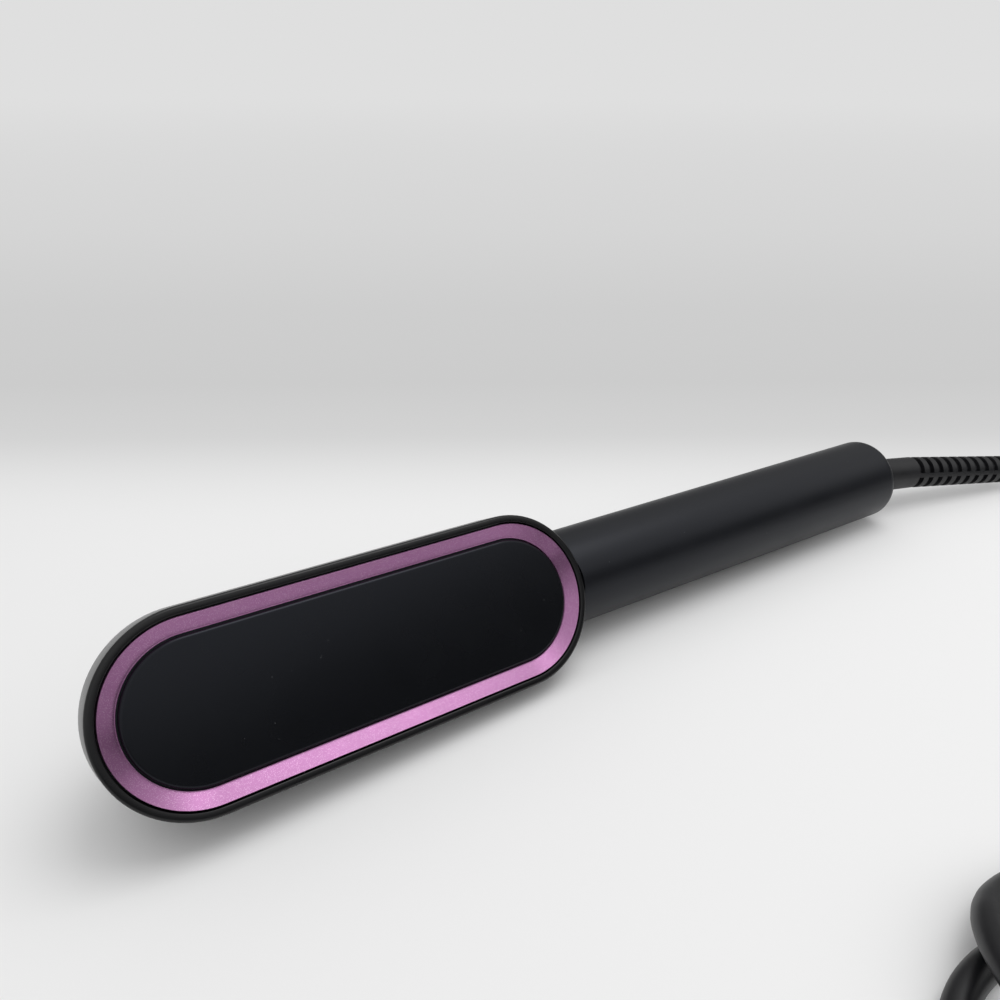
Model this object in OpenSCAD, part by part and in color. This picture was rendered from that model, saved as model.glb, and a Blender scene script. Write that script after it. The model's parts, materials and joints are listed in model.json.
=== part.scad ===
// Hair straightening brush: heated comb head, round handle with three keys, swivel mains cord.
// Head frame: X runs along the head towards the handle, Y across it, Z out of the back face.
// Handle frame: X along the handle's axis from the end of the head, -Z on the comb side.
// The finished brush lies on a table at z = 0, on the edge of its head, its teeth and its handle.

/* [Head] */
// Length of the oval head over its rim
head_l = 137.4; // [130:0.2:150]
// Width of the oval head over its rim
head_w = 49; // [47:0.5:54]
// Depth of the head from the rim to its front face
head_d = 15.6; // [15:0.1:18]
// Wall of the head shell
shell_wall = 2.1; // [1.8:0.1:2.4]
// Thickness of the front lip that holds the comb frame
lip_t = 2.2; // [1.6:0.1:2.6]
// Radius of the round front edge
front_round = 5; // [3.5:0.25:5.5]
// Radius of the rim's outer edge
rim_round = 0.8; // [0.4:0.1:1.2]
// Width of the black rim outside the ring
rim_w = 2.5; // [2.3:0.1:3.2]
// Diameter of the small cover screws
cover_screw_d = 2; // [1.6:0.1:2.4]

/* [Ring and back plate] */
// Width of the coloured ring
ring_w = 4.05; // [3:0.05:5]
// How far the ring's inner edge lies below its outer edge
ring_slope = 1.9; // [0.6:0.1:2.2]
// Depth of the ring's seat below the rim
ring_seat = 3.2; // [2.9:0.1:3.6]
// Depth of the ring's outer edge below the rim
ring_drop = 0.15; // [0:0.05:0.4]
// Shadow gap on each side of the ring
ring_gap = 0.45; // [0.2:0.05:0.7]
// Depth of the back plate's face below the rim
plate_drop = 1.1; // [0.6:0.1:1.6]
// Radius of the back plate's edge
plate_round = 0.9; // [0.4:0.1:1.2]
// Thickness of the inner cover under the ring
cover_t = 2.4; // [2.2:0.1:2.8]

/* [Comb] */
// Distance from one row of teeth to the next
comb_pitch = 6; // [5.6:0.1:6.4]
// Rows of heated teeth on each side of the middle row
comb_rows = 8; // [5:1:8]
// Thickness of a heated tooth
fin_t = 2.2; // [1.6:0.1:2.4]
// Height of the heated teeth
fin_h = 12; // [9:0.5:13]
// Width of one prong of a heated row
prong_w = 5.2; // [4.4:0.1:5.4]
// Gap between the prongs of a row
prong_gap = 1.5; // [1:0.1:2]
// Half width of the heated boss
boss_r = 10.3; // [10:0.1:11]
// Thickness of the heated comb's base plate
base_t = 2; // [1.6:0.1:2.4]
// Distance of the guard teeth from the middle of the head
guard_row = 13; // [12.8:0.1:13.6]
// Height of the guard teeth above the comb frame
guard_h = 14.2; // [12:0.2:15]
// Radius of a guard tooth at its foot
guard_foot = 1.75; // [1.5:0.05:1.9]
// Radius of a guard tooth's round tip
guard_tip = 1.3; // [1:0.05:1.4]
// Guard teeth between the two long rows, at each end
guard_ends = 5; // [3:1:5]
// Thickness of the comb frame's flange
flange_t = 1.5; // [1.2:0.1:1.8]
// How far the comb frame stands out of the shell's front face
frame_proud = 0.5; // [0.2:0.1:1]

/* [Heater] */
// Length of the ceramic heater
heater_l = 70; // [60:1:74]
// Width of the ceramic heater
heater_w = 12; // [10:0.5:13]
// Thickness of the ceramic heater
heater_t = 1.3; // [1:0.1:1.5]
// Width of the clamp over the heater
clamp_w = 16.8; // [15:0.2:17.4]
// Thickness of the clamp
clamp_t = 0.8; // [0.6:0.1:0.9]
// Thickness of the mica sheet
mica_t = 0.6; // [0.4:0.1:0.7]

/* [Handle] */
// Diameter of the handle
handle_d = 30.2; // [29.4:0.2:32]
// Wall of the handle
handle_wall = 1.8; // [1.5:0.1:2]
// Length of the handle behind the head
handle_l = 153.5; // [150:0.5:170]
// Angle at which the handle rises towards the back side
handle_tilt = 2.83; // [2:0.01:3.4]
// Depth of the handle's axis below the rim, at the end of the head
axis_drop = 15; // [14.6:0.1:15.6]
// Radius of the handle's nose under the head
nose_round = 19; // [18:0.5:22]
// Radius of the handle's rear edge
rear_round = 4.2; // [3:0.1:5]
// Wall of the handle's rear end
rear_wall = 3; // [2.4:0.1:3.4]
// Length of the thick part of the handle that holds the swivel
seat_l = 11.5; // [10:0.5:13]
// Height of the lip with which the back half of the handle enters the front half
seam_h = 1.2; // [0.8:0.1:1.6]
// Thickness of that lip
seam_t = 0.8; // [0.6:0.1:0.9]
// Width of the seam between the halves, seen from outside
seam_gap = 0.12; // [0.05:0.01:0.2]
// Clearance of a seated piece, each side
fit = 0.15; // [0.1:0.01:0.2]
// Radial clearance of a turning journal
running = 0.05; // [0.03:0.01:0.08]

/* [Controls] */
// Length of the control panel
panel_l = 66; // [62:1:72]
// Width of the control panel
panel_w = 15.8; // [14:0.2:16.6]
// Distance from the head to the control panel
panel_x = 22; // [21:0.5:26]
// Width of a key
key_w = 7.2; // [6:0.1:8]
// Length of the two temperature keys
key_l = 9.2; // [8.2:0.1:10]
// Diameter of the power key
power_d = 9.6; // [8:0.1:10]
// How far the keys stand out of the panel
key_proud = 0.5; // [0.3:0.05:0.8]
// Clearance round a key
key_gap = 0.2; // [0.15:0.01:0.3]
// Travel of a key
key_travel = 0.5; // [0.3:0.05:0.6]
// Distance from the panel's front end to the first temperature key
first_key = 30; // [28:0.5:32]
// Distance from one temperature key to the other
key_step = 13; // [12:0.5:14]
// Distance from the second temperature key to the power key
power_step = 15; // [14:0.5:16]
// Length of the indicator window
window_l = 14; // [13:0.5:16]
// Width of the indicator window
window_w = 2.8; // [2:0.1:3.4]
// Width of the control board
board_w = 18.4; // [17:0.2:19]
// Length of the control board
board_l = 77.5; // [72:0.5:82]
// Thickness of the control board
board_t = 1.6; // [1.2:0.1:1.8]
// Distance from the panel's inside to the chassis floor
floor_depth = 8.9; // [8.4:0.1:9.2]

/* [Cord] */
// Diameter of the mains cord
cord_d = 6.5; // [6:0.1:7.2]
// Radius of the strain relief at the handle
relief_r = 6.5; // [6:0.05:7]
// Radius of the strain relief at its far end
relief_tip_r = 5.4; // [4.8:0.05:5.8]
// Length of the ribbed part of the strain relief
relief_l = 50; // [44:1:56]
// Radius of the bend at the foot of the strain relief
relief_bend_r = 18; // [14:1:50]
// Angle by which the strain relief is bent
relief_bend = 16; // [1:1:20]
// Turn of the swivel about the handle's axis, at rest
swivel_turn = -122; // [-180:1:180]
// Turn of the strain relief's spines about its own axis
spine_turn = 38; // [0:1:180]
// Number of slots on each side of the strain relief
slot_count = 10; // [8:1:11]
// Distance from one slot to the next
slot_pitch = 4.55; // [4:0.05:5]
// Length of a slot
slot_l = 2; // [1.4:0.1:2.4]
// Smooth length of the sleeve before its first slot
collar_l = 3.2; // [2:0.1:4]
// Mean diameter of the cord's coil
coil_d = 74; // [70:1:80]
// Turns in each of the coil's two layers
coil_turns = 2.5625; // [2:0.0625:4]
// Distance from turn to turn, past the cord's diameter
turn_gap = 0.6; // [0.45:0.05:1]
// Width of the tie round the coil
tie_w = 14; // [10:1:18]
// Length of the plug's body
plug_l = 36; // [32:1:42]
// Width of the plug's body
plug_w = 24; // [22:1:28]
// Thickness of the plug's body
plug_t = 15; // [14:0.5:18]

/* [Hidden] */
$fn = 72;

// Head: radii are measured from the line that runs along the middle of the oval
head_r = head_w / 2;
spine = (head_l - head_w) / 2;
groove_r = head_r - rim_w + ring_gap;
ring_r = head_r - rim_w;
plate_r = ring_r - ring_w - ring_gap;
cavity_r = head_r - shell_wall;
ledge_w = 1;
ledge_r = cavity_r - ledge_w;
flange_r = cavity_r - front_round + shell_wall - 0.05;
lip_r = head_r - front_round - 0.7;
cover_z = -ring_seat;
cover_under = cover_z - cover_t;
lip_z = -head_d + lip_t;
flange_z = lip_z + flange_t;
base_z = flange_z + base_t;
frame_z = -head_d - frame_proud;
boss_drop = 0.8;
fin_z = frame_z + boss_drop;
row_x = 40;
cover_screw_y = 17.6;
post_r = 2.8;
comb_base_r = cover_screw_y - post_r - 0.6;
comb_screw_y = comb_base_r - 2;
screw_head_t = 1.2;
heater_z = base_z + heater_t;
clamp_z = heater_z + clamp_t;
clamp_l = heater_l + 2;
foot_l = 5;
foot_w = 5.6;
head_lead_z = base_z + heater_t / 2 + 0.1;

// Handle: levels are measured from its axis, the comb side is negative
handle_r = handle_d / 2;
bore_r = handle_r - handle_wall;
inside_r = bore_r - fit;
seat_x = handle_l - rear_wall - seat_l;
swivel_x = handle_l - 25.5;
nose_z = nose_round - handle_r;
nose_x = 16;
tongue_l = 26;
tongue_low = axis_drop + lip_z + 0.2;
tongue_top = axis_drop + cover_under;
tongue_root = 4.7;
duct_w = 10;
duct_low = tongue_low + 2;
duct_top = tongue_top - 1.8;
duct_z = (duct_low + duct_top) / 2;
panel_in = handle_r - 3.2;
web_low = floor_depth - panel_in;
web_t = 1.6;
pad_x = 10;
pad_l = 17;
chassis_wall = 1.7;
chassis_end = swivel_x - 1;
board_x = panel_x + 3;
web_gap_x = board_x + board_l + 1.5;
web_gap_l = 6;
board_low = web_low - board_t;
panel_lip = 1.4;
window_x = panel_x + 6;
up_x = panel_x + first_key;
down_x = up_x + key_step;
power_x = down_x + power_step;
key_lip = 0.9;
key_lip_z = -(panel_in - 1.7);
key_lip_t = 1;
key_foot = key_lip_z + key_lip_t;
plunger_z = key_foot + key_travel + 0.1;
neck_screw_x = 17;
neck_screw_y = 7;
board_screw_y = 6.9;
terminal_l = 9;
terminal_x = board_x + board_l - terminal_l - 1;
terminal_y = board_w / 2 - 1.2;
terminal_low = 0.6 - sqrt(bore_r * bore_r - terminal_y * terminal_y);
lead_z = (terminal_low + board_low) / 2;
part_l = 11;
part_y0 = window_w / 2 + 1;
part_y1 = part_y0 + 4.4;

// Swivel, along the handle's axis
seat_r = bore_r - 2.3;
socket_r = seat_r - 0.1;
socket_x = swivel_x;
socket_end = handle_l - rear_wall - 2.6;
journal_r = 5;
neck_r = relief_r + 0.65;
collar_r = neck_r + 1.4;
spindle_end = handle_l + 0.6;
ring_x = [socket_x + 4, socket_x + 8];
slip_t = 1;
slip_l = 2.5;
lug_z = -(socket_r + 1.1);

// Strain relief: an elbow, then a tapering ribbed sleeve
elbow_drop = relief_bend_r * (1 - cos(relief_bend));
elbow_run = relief_bend_r * sin(relief_bend);
sleeve_r = cord_d / 2 + 0.7;
spine_w = 3.2;

// Resting pose: the brush is rolled until its round front edge and its teeth both touch the table,
// and pitched until the rear of the handle touches as well
edge_mid = [-(head_r - front_round), -(head_d - front_round)];
tip_mid = [-guard_row, frame_z - guard_h + guard_tip];
edge_to_tip = edge_mid - tip_mid;
roll = acos((front_round - guard_tip) / norm(edge_to_tip)) - atan2(-edge_to_tip.x, edge_to_tip.y);
head_low = edge_mid.x * sin(roll) + edge_mid.y * cos(roll) - front_round;
rear_x = head_l / 2 + (handle_l - rear_round) * cos(handle_tilt);
rear_z = -axis_drop + (handle_l - rear_round) * sin(handle_tilt);
rear_low = rear_z * cos(roll) - handle_r;
touch_x = spine + 1;
pitch = atan2(rear_low - head_low, rear_x - touch_x);
tips_out = guard_row * cos(roll) - tip_mid.y * sin(roll) + guard_tip;
rim_out = -head_r * cos(roll);
place = [-(rear_x + rear_round - head_l / 2) / 2, -(tips_out + rim_out) / 2,
    -(head_low * cos(pitch) - touch_x * sin(pitch))];

// Free cord: chosen points on the table, from the strain relief's end to the coil
cord_r = cord_d / 2;
route = [[217, -25, 4.6], [230.5, -32, 3.5], [240.5, -45, 3.5], [242.5, -60, 3.5], [236, -75, 3.5], [222, -86.5, 3.5],
    [204, -97, 3.5], [185, -109, 3.5], [163, -124, 3.5], [140, -139, 3.5], [117, -152, 3.5], [94, -159, 3.5],
    [71, -157.6, 3.7], [53.5, -150.6, 3.8], [38.5, -142.3, 3.7], [24, -136, 3.5], [6.8, -133.9, 6.1],
    [-6.4, -138.2, 10.5], [-16.2, -149, 13.6], [-21.3, -163.5, 11.7], [-20.1, -183.1, 5.4], [-16.5, -203, 3.5]];
// Lead from the coil to the plug
lead_route = [[48, -171, 9.5], [36, -159.5, 6], [23, -150, 4], [7, -144, 3.5], [-9.5, -141, 3.5], [-24, -144, 3.5],
    [-35.3, -153.5, 3.5], [-41.7, -167.5, 4.8], [-43, -179, 7.3], [-43, -185, 7.5], [-43, -191, 7.5]];
cord_sides = 8;

// Coil: two layers of turns about a point beside the brush
coil_mid = [30, -222];
turn_step = cord_d + turn_gap;
coil_low = coil_d / 2 - coil_turns * turn_step / 2;
coil_high = coil_d / 2 + coil_turns * turn_step / 2;
loop_rings = 24;
loop_sides = 6;
coil_start = 180;
tie_at = 270;
tie_gap = 0.3;
tie_t = 1;
plug_at = [-43, -191, 7.5];
plug_neck = 10;
blade_l = 16.5;

// Turns of a point about an axis, and the way from each frame to the table's
function about_x(a, p) = [p.x, p.y * cos(a) - p.z * sin(a), p.y * sin(a) + p.z * cos(a)];
function about_y(a, p) = [p.x * cos(a) + p.z * sin(a), p.y, -p.x * sin(a) + p.z * cos(a)];
function turned(p) = about_y(pitch, about_x(roll, about_y(-handle_tilt, about_x(swivel_turn, p))));
function on_table(p) = about_y(pitch, about_x(roll, about_y(-handle_tilt, about_x(swivel_turn, p))
    + [head_l / 2, 0, -axis_drop])) + place;

// A smooth curve through a list of points, sampled at n steps a stretch
function pt(list, i) = list[max(0, min(len(list) - 1, i))];
function smooth(a, b, c, d, t) = 0.5 * (2 * b + (c - a) * t + (2 * a - 5 * b + 4 * c - d) * t * t
    + (3 * b - a - 3 * c + d) * t * t * t);
function curve(list, n) = [for (i = [0:len(list) - 2], k = [0:n - 1])
    smooth(pt(list, i - 1), list[i], list[i + 1], pt(list, i + 2), k / n), list[len(list) - 1]];
function unit(v) = v / norm(v);
function along(list, i) = unit(pt(list, i + 1) - pt(list, i - 1));
function ring_at(p, way, side, r, n) = [for (k = [0:n - 1]) let(a = 360 * (k + 0.5) / n)
    p + r * (cos(a) * side + sin(a) * cross(side, way))];

// A tube along a list of points, one ring at each; no stretch runs along the vector up
module tube_along(list, r, sides, up = [0, 0, 1]) {
    n = len(list);
    points = [for (i = [0:n - 1]) let(way = along(list, i)) each ring_at(list[i], way, unit(cross(way, up)), r, sides)];
    walls = [for (i = [0:n - 2], k = [0:sides - 1]) let(a = i * sides + k, b = i * sides + (k + 1) % sides)
        each [[a, b, b + sides], [a, b + sides, a + sides]]];
    caps = [for (k = [1:sides - 2]) each [[0, k + 1, k],
        [(n - 1) * sides, (n - 1) * sides + k, (n - 1) * sides + k + 1]]];
    polyhedron(points, concat(walls, caps));
}

// Frames
module on_table() translate(place) rotate([roll, pitch, 0]) children();
module handle_frame() on_table() translate([head_l / 2, 0, -axis_drop]) rotate([0, -handle_tilt, 0]) children();
module swivel_frame() handle_frame() rotate([swivel_turn, 0, 0]) children();
module across_x(x) translate([x, 0, 0]) rotate([0, 90, 0]) children();

// A round bar along X
module bar(r, x0, x1) across_x(x0) cylinder(r = r, h = x1 - x0);
module cone_bar(r0, r1, x0, x1) across_x(x0) cylinder(r1 = r0, r2 = r1, h = x1 - x0);
module block(low, high) translate(low) cube(high - low);

// Ovals of the head
module oval(r) {
    square([2 * spine, 2 * r], center = true);
    for (s = [-1, 1]) translate([s * spine, 0]) circle(r);
}
module oval_slab(r, z0, z1) translate([0, 0, z0]) linear_extrude(z1 - z0) oval(r);
module oval_sweep() {
    for (s = [0, 180]) rotate(s) {
        translate([spine, 0, 0]) rotate(-90) rotate_extrude(angle = 180) children();
        translate([-spine, 0, 0]) rotate([90, 0, 90]) linear_extrude(2 * spine) children();
    }
}

// The head's outline from the middle line to its skin, grown by g
module head_section(g) {
    translate([0, -head_d + front_round - g]) square([head_r + g, head_d - front_round - rim_round + 2 * g]);
    translate([0, -head_d - g]) square([head_r - front_round, head_d + 2 * g]);
    translate([head_r - front_round, -head_d + front_round]) circle(front_round + g);
    translate([0, -rim_round]) square([head_r - rim_round, rim_round + g]);
    translate([head_r - rim_round, -rim_round]) circle(rim_round + g);
}

module head_shell() on_table() color("#1b1b1e") {
    difference() {
        union() {
            oval_sweep() difference() {
                head_section(0);
                translate([-1, cover_under]) square([groove_r + 1, head_d]);
                translate([-1, cover_under - ledge_w - 0.01]) square([ledge_r + 1, ledge_w + 0.02]);
                translate([-1, lip_z + front_round - shell_wall])
                    square([cavity_r + 1, cover_under - ledge_w - lip_z - front_round + shell_wall]);
                translate([-1, lip_z]) square([cavity_r - front_round + shell_wall + 1, head_d - lip_t - 1 + cover_under]);
                translate([cavity_r - front_round + shell_wall, lip_z + front_round - shell_wall])
                    circle(front_round - shell_wall);
                translate([-1, -head_d - 1]) square([lip_r + 1, lip_t + 1.01]);
            }
            neck_tongue();
        }
        translate([head_l / 2, 0, -axis_drop]) rotate([0, -handle_tilt, 0]) {
            block([-12, -duct_w / 2, duct_low], [tongue_l + 1, duct_w / 2, duct_top]);
            for (s = [-1, 1]) translate([neck_screw_x, s * neck_screw_y, tongue_low - 1]) cylinder(r = 1, h = 6);
        }
    }
}

// The tongue that carries the handle: it leaves the head's end wall and enters the handle's bore
module neck_tongue() difference() {
    translate([head_l / 2, 0, -axis_drop]) rotate([0, -handle_tilt, 0]) intersection() {
        bar(inside_r, -tongue_root, tongue_l);
        block([-tongue_root, -handle_r, tongue_low], [tongue_l, handle_r, tongue_top]);
    }
    oval_slab(cavity_r, -head_d, 0);
}

module back_cover() on_table() color("#232326") difference() {
    oval_slab(cavity_r - fit, cover_under, cover_z);
    screw_rows() {
        translate([0, 0, cover_under - 1]) cylinder(r = cover_screw_d / 2 + 0.2, h = cover_t + 2);
        translate([0, 0, cover_z - screw_head_t - 0.2]) cylinder(r = cover_screw_d + 0.3, h = screw_head_t + 1);
    }
}

// The six places of the cover's screws
module screw_rows() for (x = [-row_x, 0, row_x], s = [-1, 1]) translate([x, s * cover_screw_y, 0]) children();

module cover_screws() on_table() color("#9a9da3") screw_rows() {
    translate([0, 0, cover_z - screw_head_t - 0.2]) screw(cover_screw_d, screw_head_t, cover_t + 3.4);
}

// A pan-head screw whose head stands on z = 0 and whose shank points down, with a cross recess
module screw(d, head, shank) difference() {
    union() {
        cylinder(r = d, h = head);
        translate([0, 0, -shank]) cylinder(r = d / 2, h = shank);
        translate([0, 0, -shank - d / 4]) cylinder(r1 = d / 4, r2 = d / 2, h = d / 4);
    }
    for (a = [0, 90]) rotate(a) translate([-d * 0.6, -d * 0.12, head * 0.5]) cube([d * 1.2, d * 0.24, head]);
}

module accent_ring() on_table() color("#b55fa6") oval_sweep() polygon([[ring_r, cover_z], [ring_r, -ring_drop - 0.25],
    [ring_r - 0.25, -ring_drop], [ring_r - ring_w + 0.2, -ring_drop - ring_slope], [ring_r - ring_w,
    -ring_drop - ring_slope - 0.2], [ring_r - ring_w, cover_z]]);

module back_plate() on_table() color("#161618") {
    oval_slab(plate_r - plate_round, cover_z, -plate_drop);
    oval_sweep() {
        translate([plate_r - plate_round - 0.01, cover_z]) square([plate_round + 0.01, -plate_drop - plate_round - cover_z]);
        intersection() {
            translate([plate_r - plate_round, -plate_drop - plate_round]) circle(plate_round);
            translate([plate_r - plate_round - 0.01, -plate_drop - plate_round]) square(plate_round + 0.01);
        }
    }
}

// Comb frame: a flange inside the shell's lip, guard teeth all round, and posts for the cover's screws
module comb_frame() on_table() color("#202023") difference() {
    union() {
        oval_slab(flange_r, lip_z, flange_z);
        oval_slab(lip_r - fit, frame_z, lip_z);
        guard_places() guard_tooth();
        screw_rows() translate([0, 0, flange_z]) cylinder(r = post_r, h = cover_under - flange_z);
    }
    oval_slab(boss_r + 0.3, frame_z - 1, flange_z + 1);
    screw_rows() translate([0, 0, cover_under - 5.6]) cylinder(r = cover_screw_d / 2, h = 7);
    comb_screw_places() translate([0, 0, flange_z - 3.6]) cylinder(r = 0.85, h = 4);
}

module guard_places() {
    for (i = [-floor(spine / comb_pitch):floor(spine / comb_pitch)], s = [-1, 1])
        translate([i * comb_pitch, s * guard_row, 0]) children();
    for (e = [0, 180], k = [1:guard_ends]) rotate(e) translate([spine, 0, 0])
        rotate(-90 + 180 * k / (guard_ends + 1)) translate([guard_row, 0, 0]) children();
}

module guard_tooth() {
    translate([0, 0, tip_mid.y]) {
        sphere(guard_tip);
        cylinder(r1 = guard_tip, r2 = guard_foot, h = frame_z - tip_mid.y);
    }
}

// Heated comb: a base plate behind the frame, a boss through it, and rows of three-pronged teeth
module heat_comb() on_table() color("#6d6468") difference() {
    union() {
        oval_slab(comb_base_r, flange_z, base_z);
        oval_slab(boss_r, fin_z, flange_z);
        for (i = [-comb_rows:comb_rows]) translate([i * comb_pitch, 0, fin_z]) heat_row(1);
        for (s = [-1, 1]) translate([s * (spine + boss_r - 1.2 - fin_t / 2), 0, fin_z]) heat_row(0);
    }
    comb_screw_places() translate([0, 0, flange_z - 1]) cylinder(r = 1.15, h = base_t + 2);
    clamp_screw_places() translate([0, 0, base_z - 5]) cylinder(r = 0.85, h = 6);
}

// A row of teeth: the middle one, and n more on each side of it
module heat_row(n) translate([-fin_t / 2, 0, 0]) rotate([90, 0, 90]) linear_extrude(fin_t) {
    for (k = [-n:n]) translate([k * (prong_w + prong_gap), 0]) {
        translate([-prong_w / 2, -fin_h + prong_w / 2]) square([prong_w, fin_h - prong_w / 2 + 0.5]);
        translate([0, -fin_h + prong_w / 2]) circle(prong_w / 2);
    }
    if (n > 0) translate([-1.5 * prong_w - prong_gap, -2]) square([3 * prong_w + 2 * prong_gap, 2.5]);
}

module comb_screw_places() for (x = [-row_x, row_x], s = [-1, 1]) translate([x, s * comb_screw_y, 0]) children();
module clamp_screw_places() for (s = [-1, 1]) translate([s * (clamp_l + foot_l) / 2, 0, 0]) children();

module comb_screws() on_table() color("#9a9da3") comb_screw_places() translate([0, 0, base_z]) screw(1.6, 1.1, 5);

module heater_plate() on_table() color("#d8d4c8")
    block([-heater_l / 2, -heater_w / 2, base_z], [heater_l / 2, heater_w / 2, heater_z]);

// The clamp bridges the heater and stands on a foot at each end
module heater_clamp() on_table() color("#b9bcc0") difference() {
    union() {
        block([-clamp_l / 2, -clamp_w / 2, heater_z], [clamp_l / 2, clamp_w / 2, clamp_z]);
        for (s = [-1, 1]) translate([s * (clamp_l + foot_l) / 2, 0, (base_z + clamp_z) / 2])
            cube([foot_l, foot_w, clamp_z - base_z], center = true);
    }
    clamp_screw_places() translate([0, 0, base_z - 1]) cylinder(r = 1.15, h = 5);
}

module clamp_screws() on_table() color("#9a9da3") clamp_screw_places() translate([0, 0, clamp_z]) screw(1.6, 0.9, 6);

module mica_sheet() on_table() color("#c9b98f") block([-heater_l / 2 + 1, -clamp_w / 2 + 0.4, clamp_z],
    [heater_l / 2 - 1, clamp_w / 2 - 0.4, clamp_z + mica_t]);

// Temperature sensor and thermal fuse lie on the comb's base, one on each side of the heater
sensor_y = 11.2;
fuse_r = 1.5;
fuse_l = 10;
sensor_r = 1.1;
sensor_l = 6;
module thermal_fuse() on_table() color("#c7c9cc") translate([0, sensor_y, base_z + fuse_r]) {
    bar(fuse_r, -fuse_l / 2, fuse_l / 2);
    cone_bar(fuse_r, 0.5, fuse_l / 2, fuse_l / 2 + 1.5);
}
module thermistor() on_table() color("#c46a2b") translate([0, -sensor_y, base_z + sensor_r]) {
    sphere(sensor_r);
    bar(sensor_r, 0, sensor_l);
}

// Handle: a tube with a round nose under the head, cut to the head's outline, and a round-edged rear end
module handle_tube(r, nose) intersection() {
    bar(r, -20, handle_l);
    translate([0, handle_d, 0]) rotate([90, 0, 0]) linear_extrude(2 * handle_d) {
        translate([nose_x, -handle_d]) square([handle_l, 2 * handle_d]);
        translate([-20, nose_z]) square([handle_l, handle_d]);
        translate([nose_x, nose_z]) circle(nose);
    }
}

module rear_blank() rotate([0, 90, 0]) rotate_extrude() {
    translate([0, -20]) square([handle_r, handle_l - rear_round + 20]);
    square([handle_r - rear_round, handle_l]);
    intersection() {
        translate([handle_r - rear_round, handle_l - rear_round]) circle(rear_round);
        translate([0, handle_l - rear_round]) square([handle_r + 1, rear_round + 1]);
    }
}

// What the two halves share: the walls, with the bores for the chassis and the swivel
module handle_walls() difference() {
    intersection() {
        handle_tube(handle_r + 1, nose_round);
        rear_blank();
    }
    difference() {
        handle_tube(bore_r, nose_round - handle_wall);
        bar(handle_r + 1, nose_x, handle_l + 1);
    }
    bar(bore_r, nose_x - 0.01, seat_x);
    bar(seat_r, seat_x - 1, handle_l - rear_wall);
    bar(neck_r + running, seat_x, handle_l + 1);
}

module seam_lip(g) intersection() {
    bar(bore_r + seam_t + g, nose_x + 1 - g, seat_x - 1 + g);
    block([0, -handle_r, -seam_h - g], [seat_x, handle_r, 1]);
}

module handle_half() on_table() difference() {
    translate([head_l / 2, 0, -axis_drop]) rotate([0, -handle_tilt, 0]) children();
    head_blank();
}

module handle_back() color("#1d1d20") handle_half() difference() {
    union() {
        intersection() {
            handle_walls();
            block([-30, -handle_r - 1, seam_gap / 2], [handle_l + 1, handle_r + 1, handle_r + 1]);
        }
        difference() {
            seam_lip(0);
            bar(bore_r, 0, handle_l);
            block([0, -handle_r - 1, seam_gap], [handle_l, handle_r + 1, handle_r]);
        }
    }
    intersection() {
        bar(bore_r, -20, nose_x + 1);
        block([-20, -handle_r, tongue_low - fit], [nose_x + 1, handle_r, tongue_top + fit]);
    }
}

module handle_front() color("#1d1d20") handle_half() difference() {
    intersection() {
        handle_walls();
        block([-30, -handle_r - 1, -handle_r - 1], [handle_l + 1, handle_r + 1, -seam_gap / 2]);
    }
    seam_lip(fit / 2);
    panel_prism(fit, handle_r + 1);
    rear_screw_place() cylinder(r = 1.2, h = 8);
    rear_screw_place() translate([0, 0, -2]) cylinder(r = 2.5, h = 3.3);
}

// The head's outline grown by the fit
module head_blank() {
    oval_slab(head_r - front_round, -head_d - fit, 6);
    oval_slab(head_r + fit, -head_d + front_round, 6);
    oval_sweep() intersection() {
        translate([head_r - front_round, -head_d + front_round]) circle(front_round + fit);
        translate([head_r - front_round - 0.01, -head_d - fit]) square(front_round + fit + 0.01);
    }
}

// A slot-shaped prism along X on the comb side, from outside the handle in to depth z
module slot_prism(x0, x1, w, z0, z1) translate([0, 0, z0]) linear_extrude(z1 - z0) {
    translate([x0 + w / 2, 0]) circle(w / 2);
    if (x1 - x0 > w + 0.01) {
        translate([x0 + w / 2, -w / 2]) square([x1 - x0 - w, w]);
        translate([x1 - w / 2, 0]) circle(w / 2);
    }
}
module panel_prism(g, depth) slot_prism(panel_x - g, panel_x + panel_l + g, panel_w + 2 * g, -depth, -6);

// Control panel: flush with the handle outside, with a lip behind the handle's wall
module control_panel() handle_frame() color("#0b0b0d") difference() {
    union() {
        intersection() {
            bar(handle_r, panel_x - 2, panel_x + panel_l + 2);
            panel_prism(0, handle_r + 1);
        }
        intersection() {
            bar(inside_r, panel_x - 4, panel_x + panel_l + 4);
            slot_prism(panel_x - panel_lip, panel_x + panel_l + panel_lip, panel_w + 2 * panel_lip, -handle_r, -6);
        }
    }
    bar(panel_in, 0, handle_l);
    slot_prism(window_x - 0.05, window_x + window_l + 0.05, window_w + 0.1, -handle_r - 1, -5);
    key_prism(up_x, key_l, key_w, key_gap, -handle_r - 1, -5);
    key_prism(down_x, key_l, key_w, key_gap, -handle_r - 1, -5);
    key_prism(power_x, power_d, power_d, key_gap, -handle_r - 1, -5);
}

module key_prism(x, l, w, g, z0, z1) slot_prism(x - l / 2 - g, x + l / 2 + g, w + 2 * g, z0, z1);

// A key: a cap that follows the handle's curve, on a lip that stays behind the panel
module key(x, l, w) {
    intersection() {
        bar(handle_r + key_proud, x - l, x + l);
        key_prism(x, l, w, 0, -handle_r - 2, key_foot);
    }
    key_prism(x, l, w, key_lip, key_lip_z, key_foot);
}

module power_button() handle_frame() color("#2a2a2e") key(power_x, power_d, power_d);
module temp_up_button() handle_frame() color("#2a2a2e") key(up_x, key_l, key_w);
module temp_down_button() handle_frame() color("#2a2a2e") key(down_x, key_l, key_w);

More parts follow.
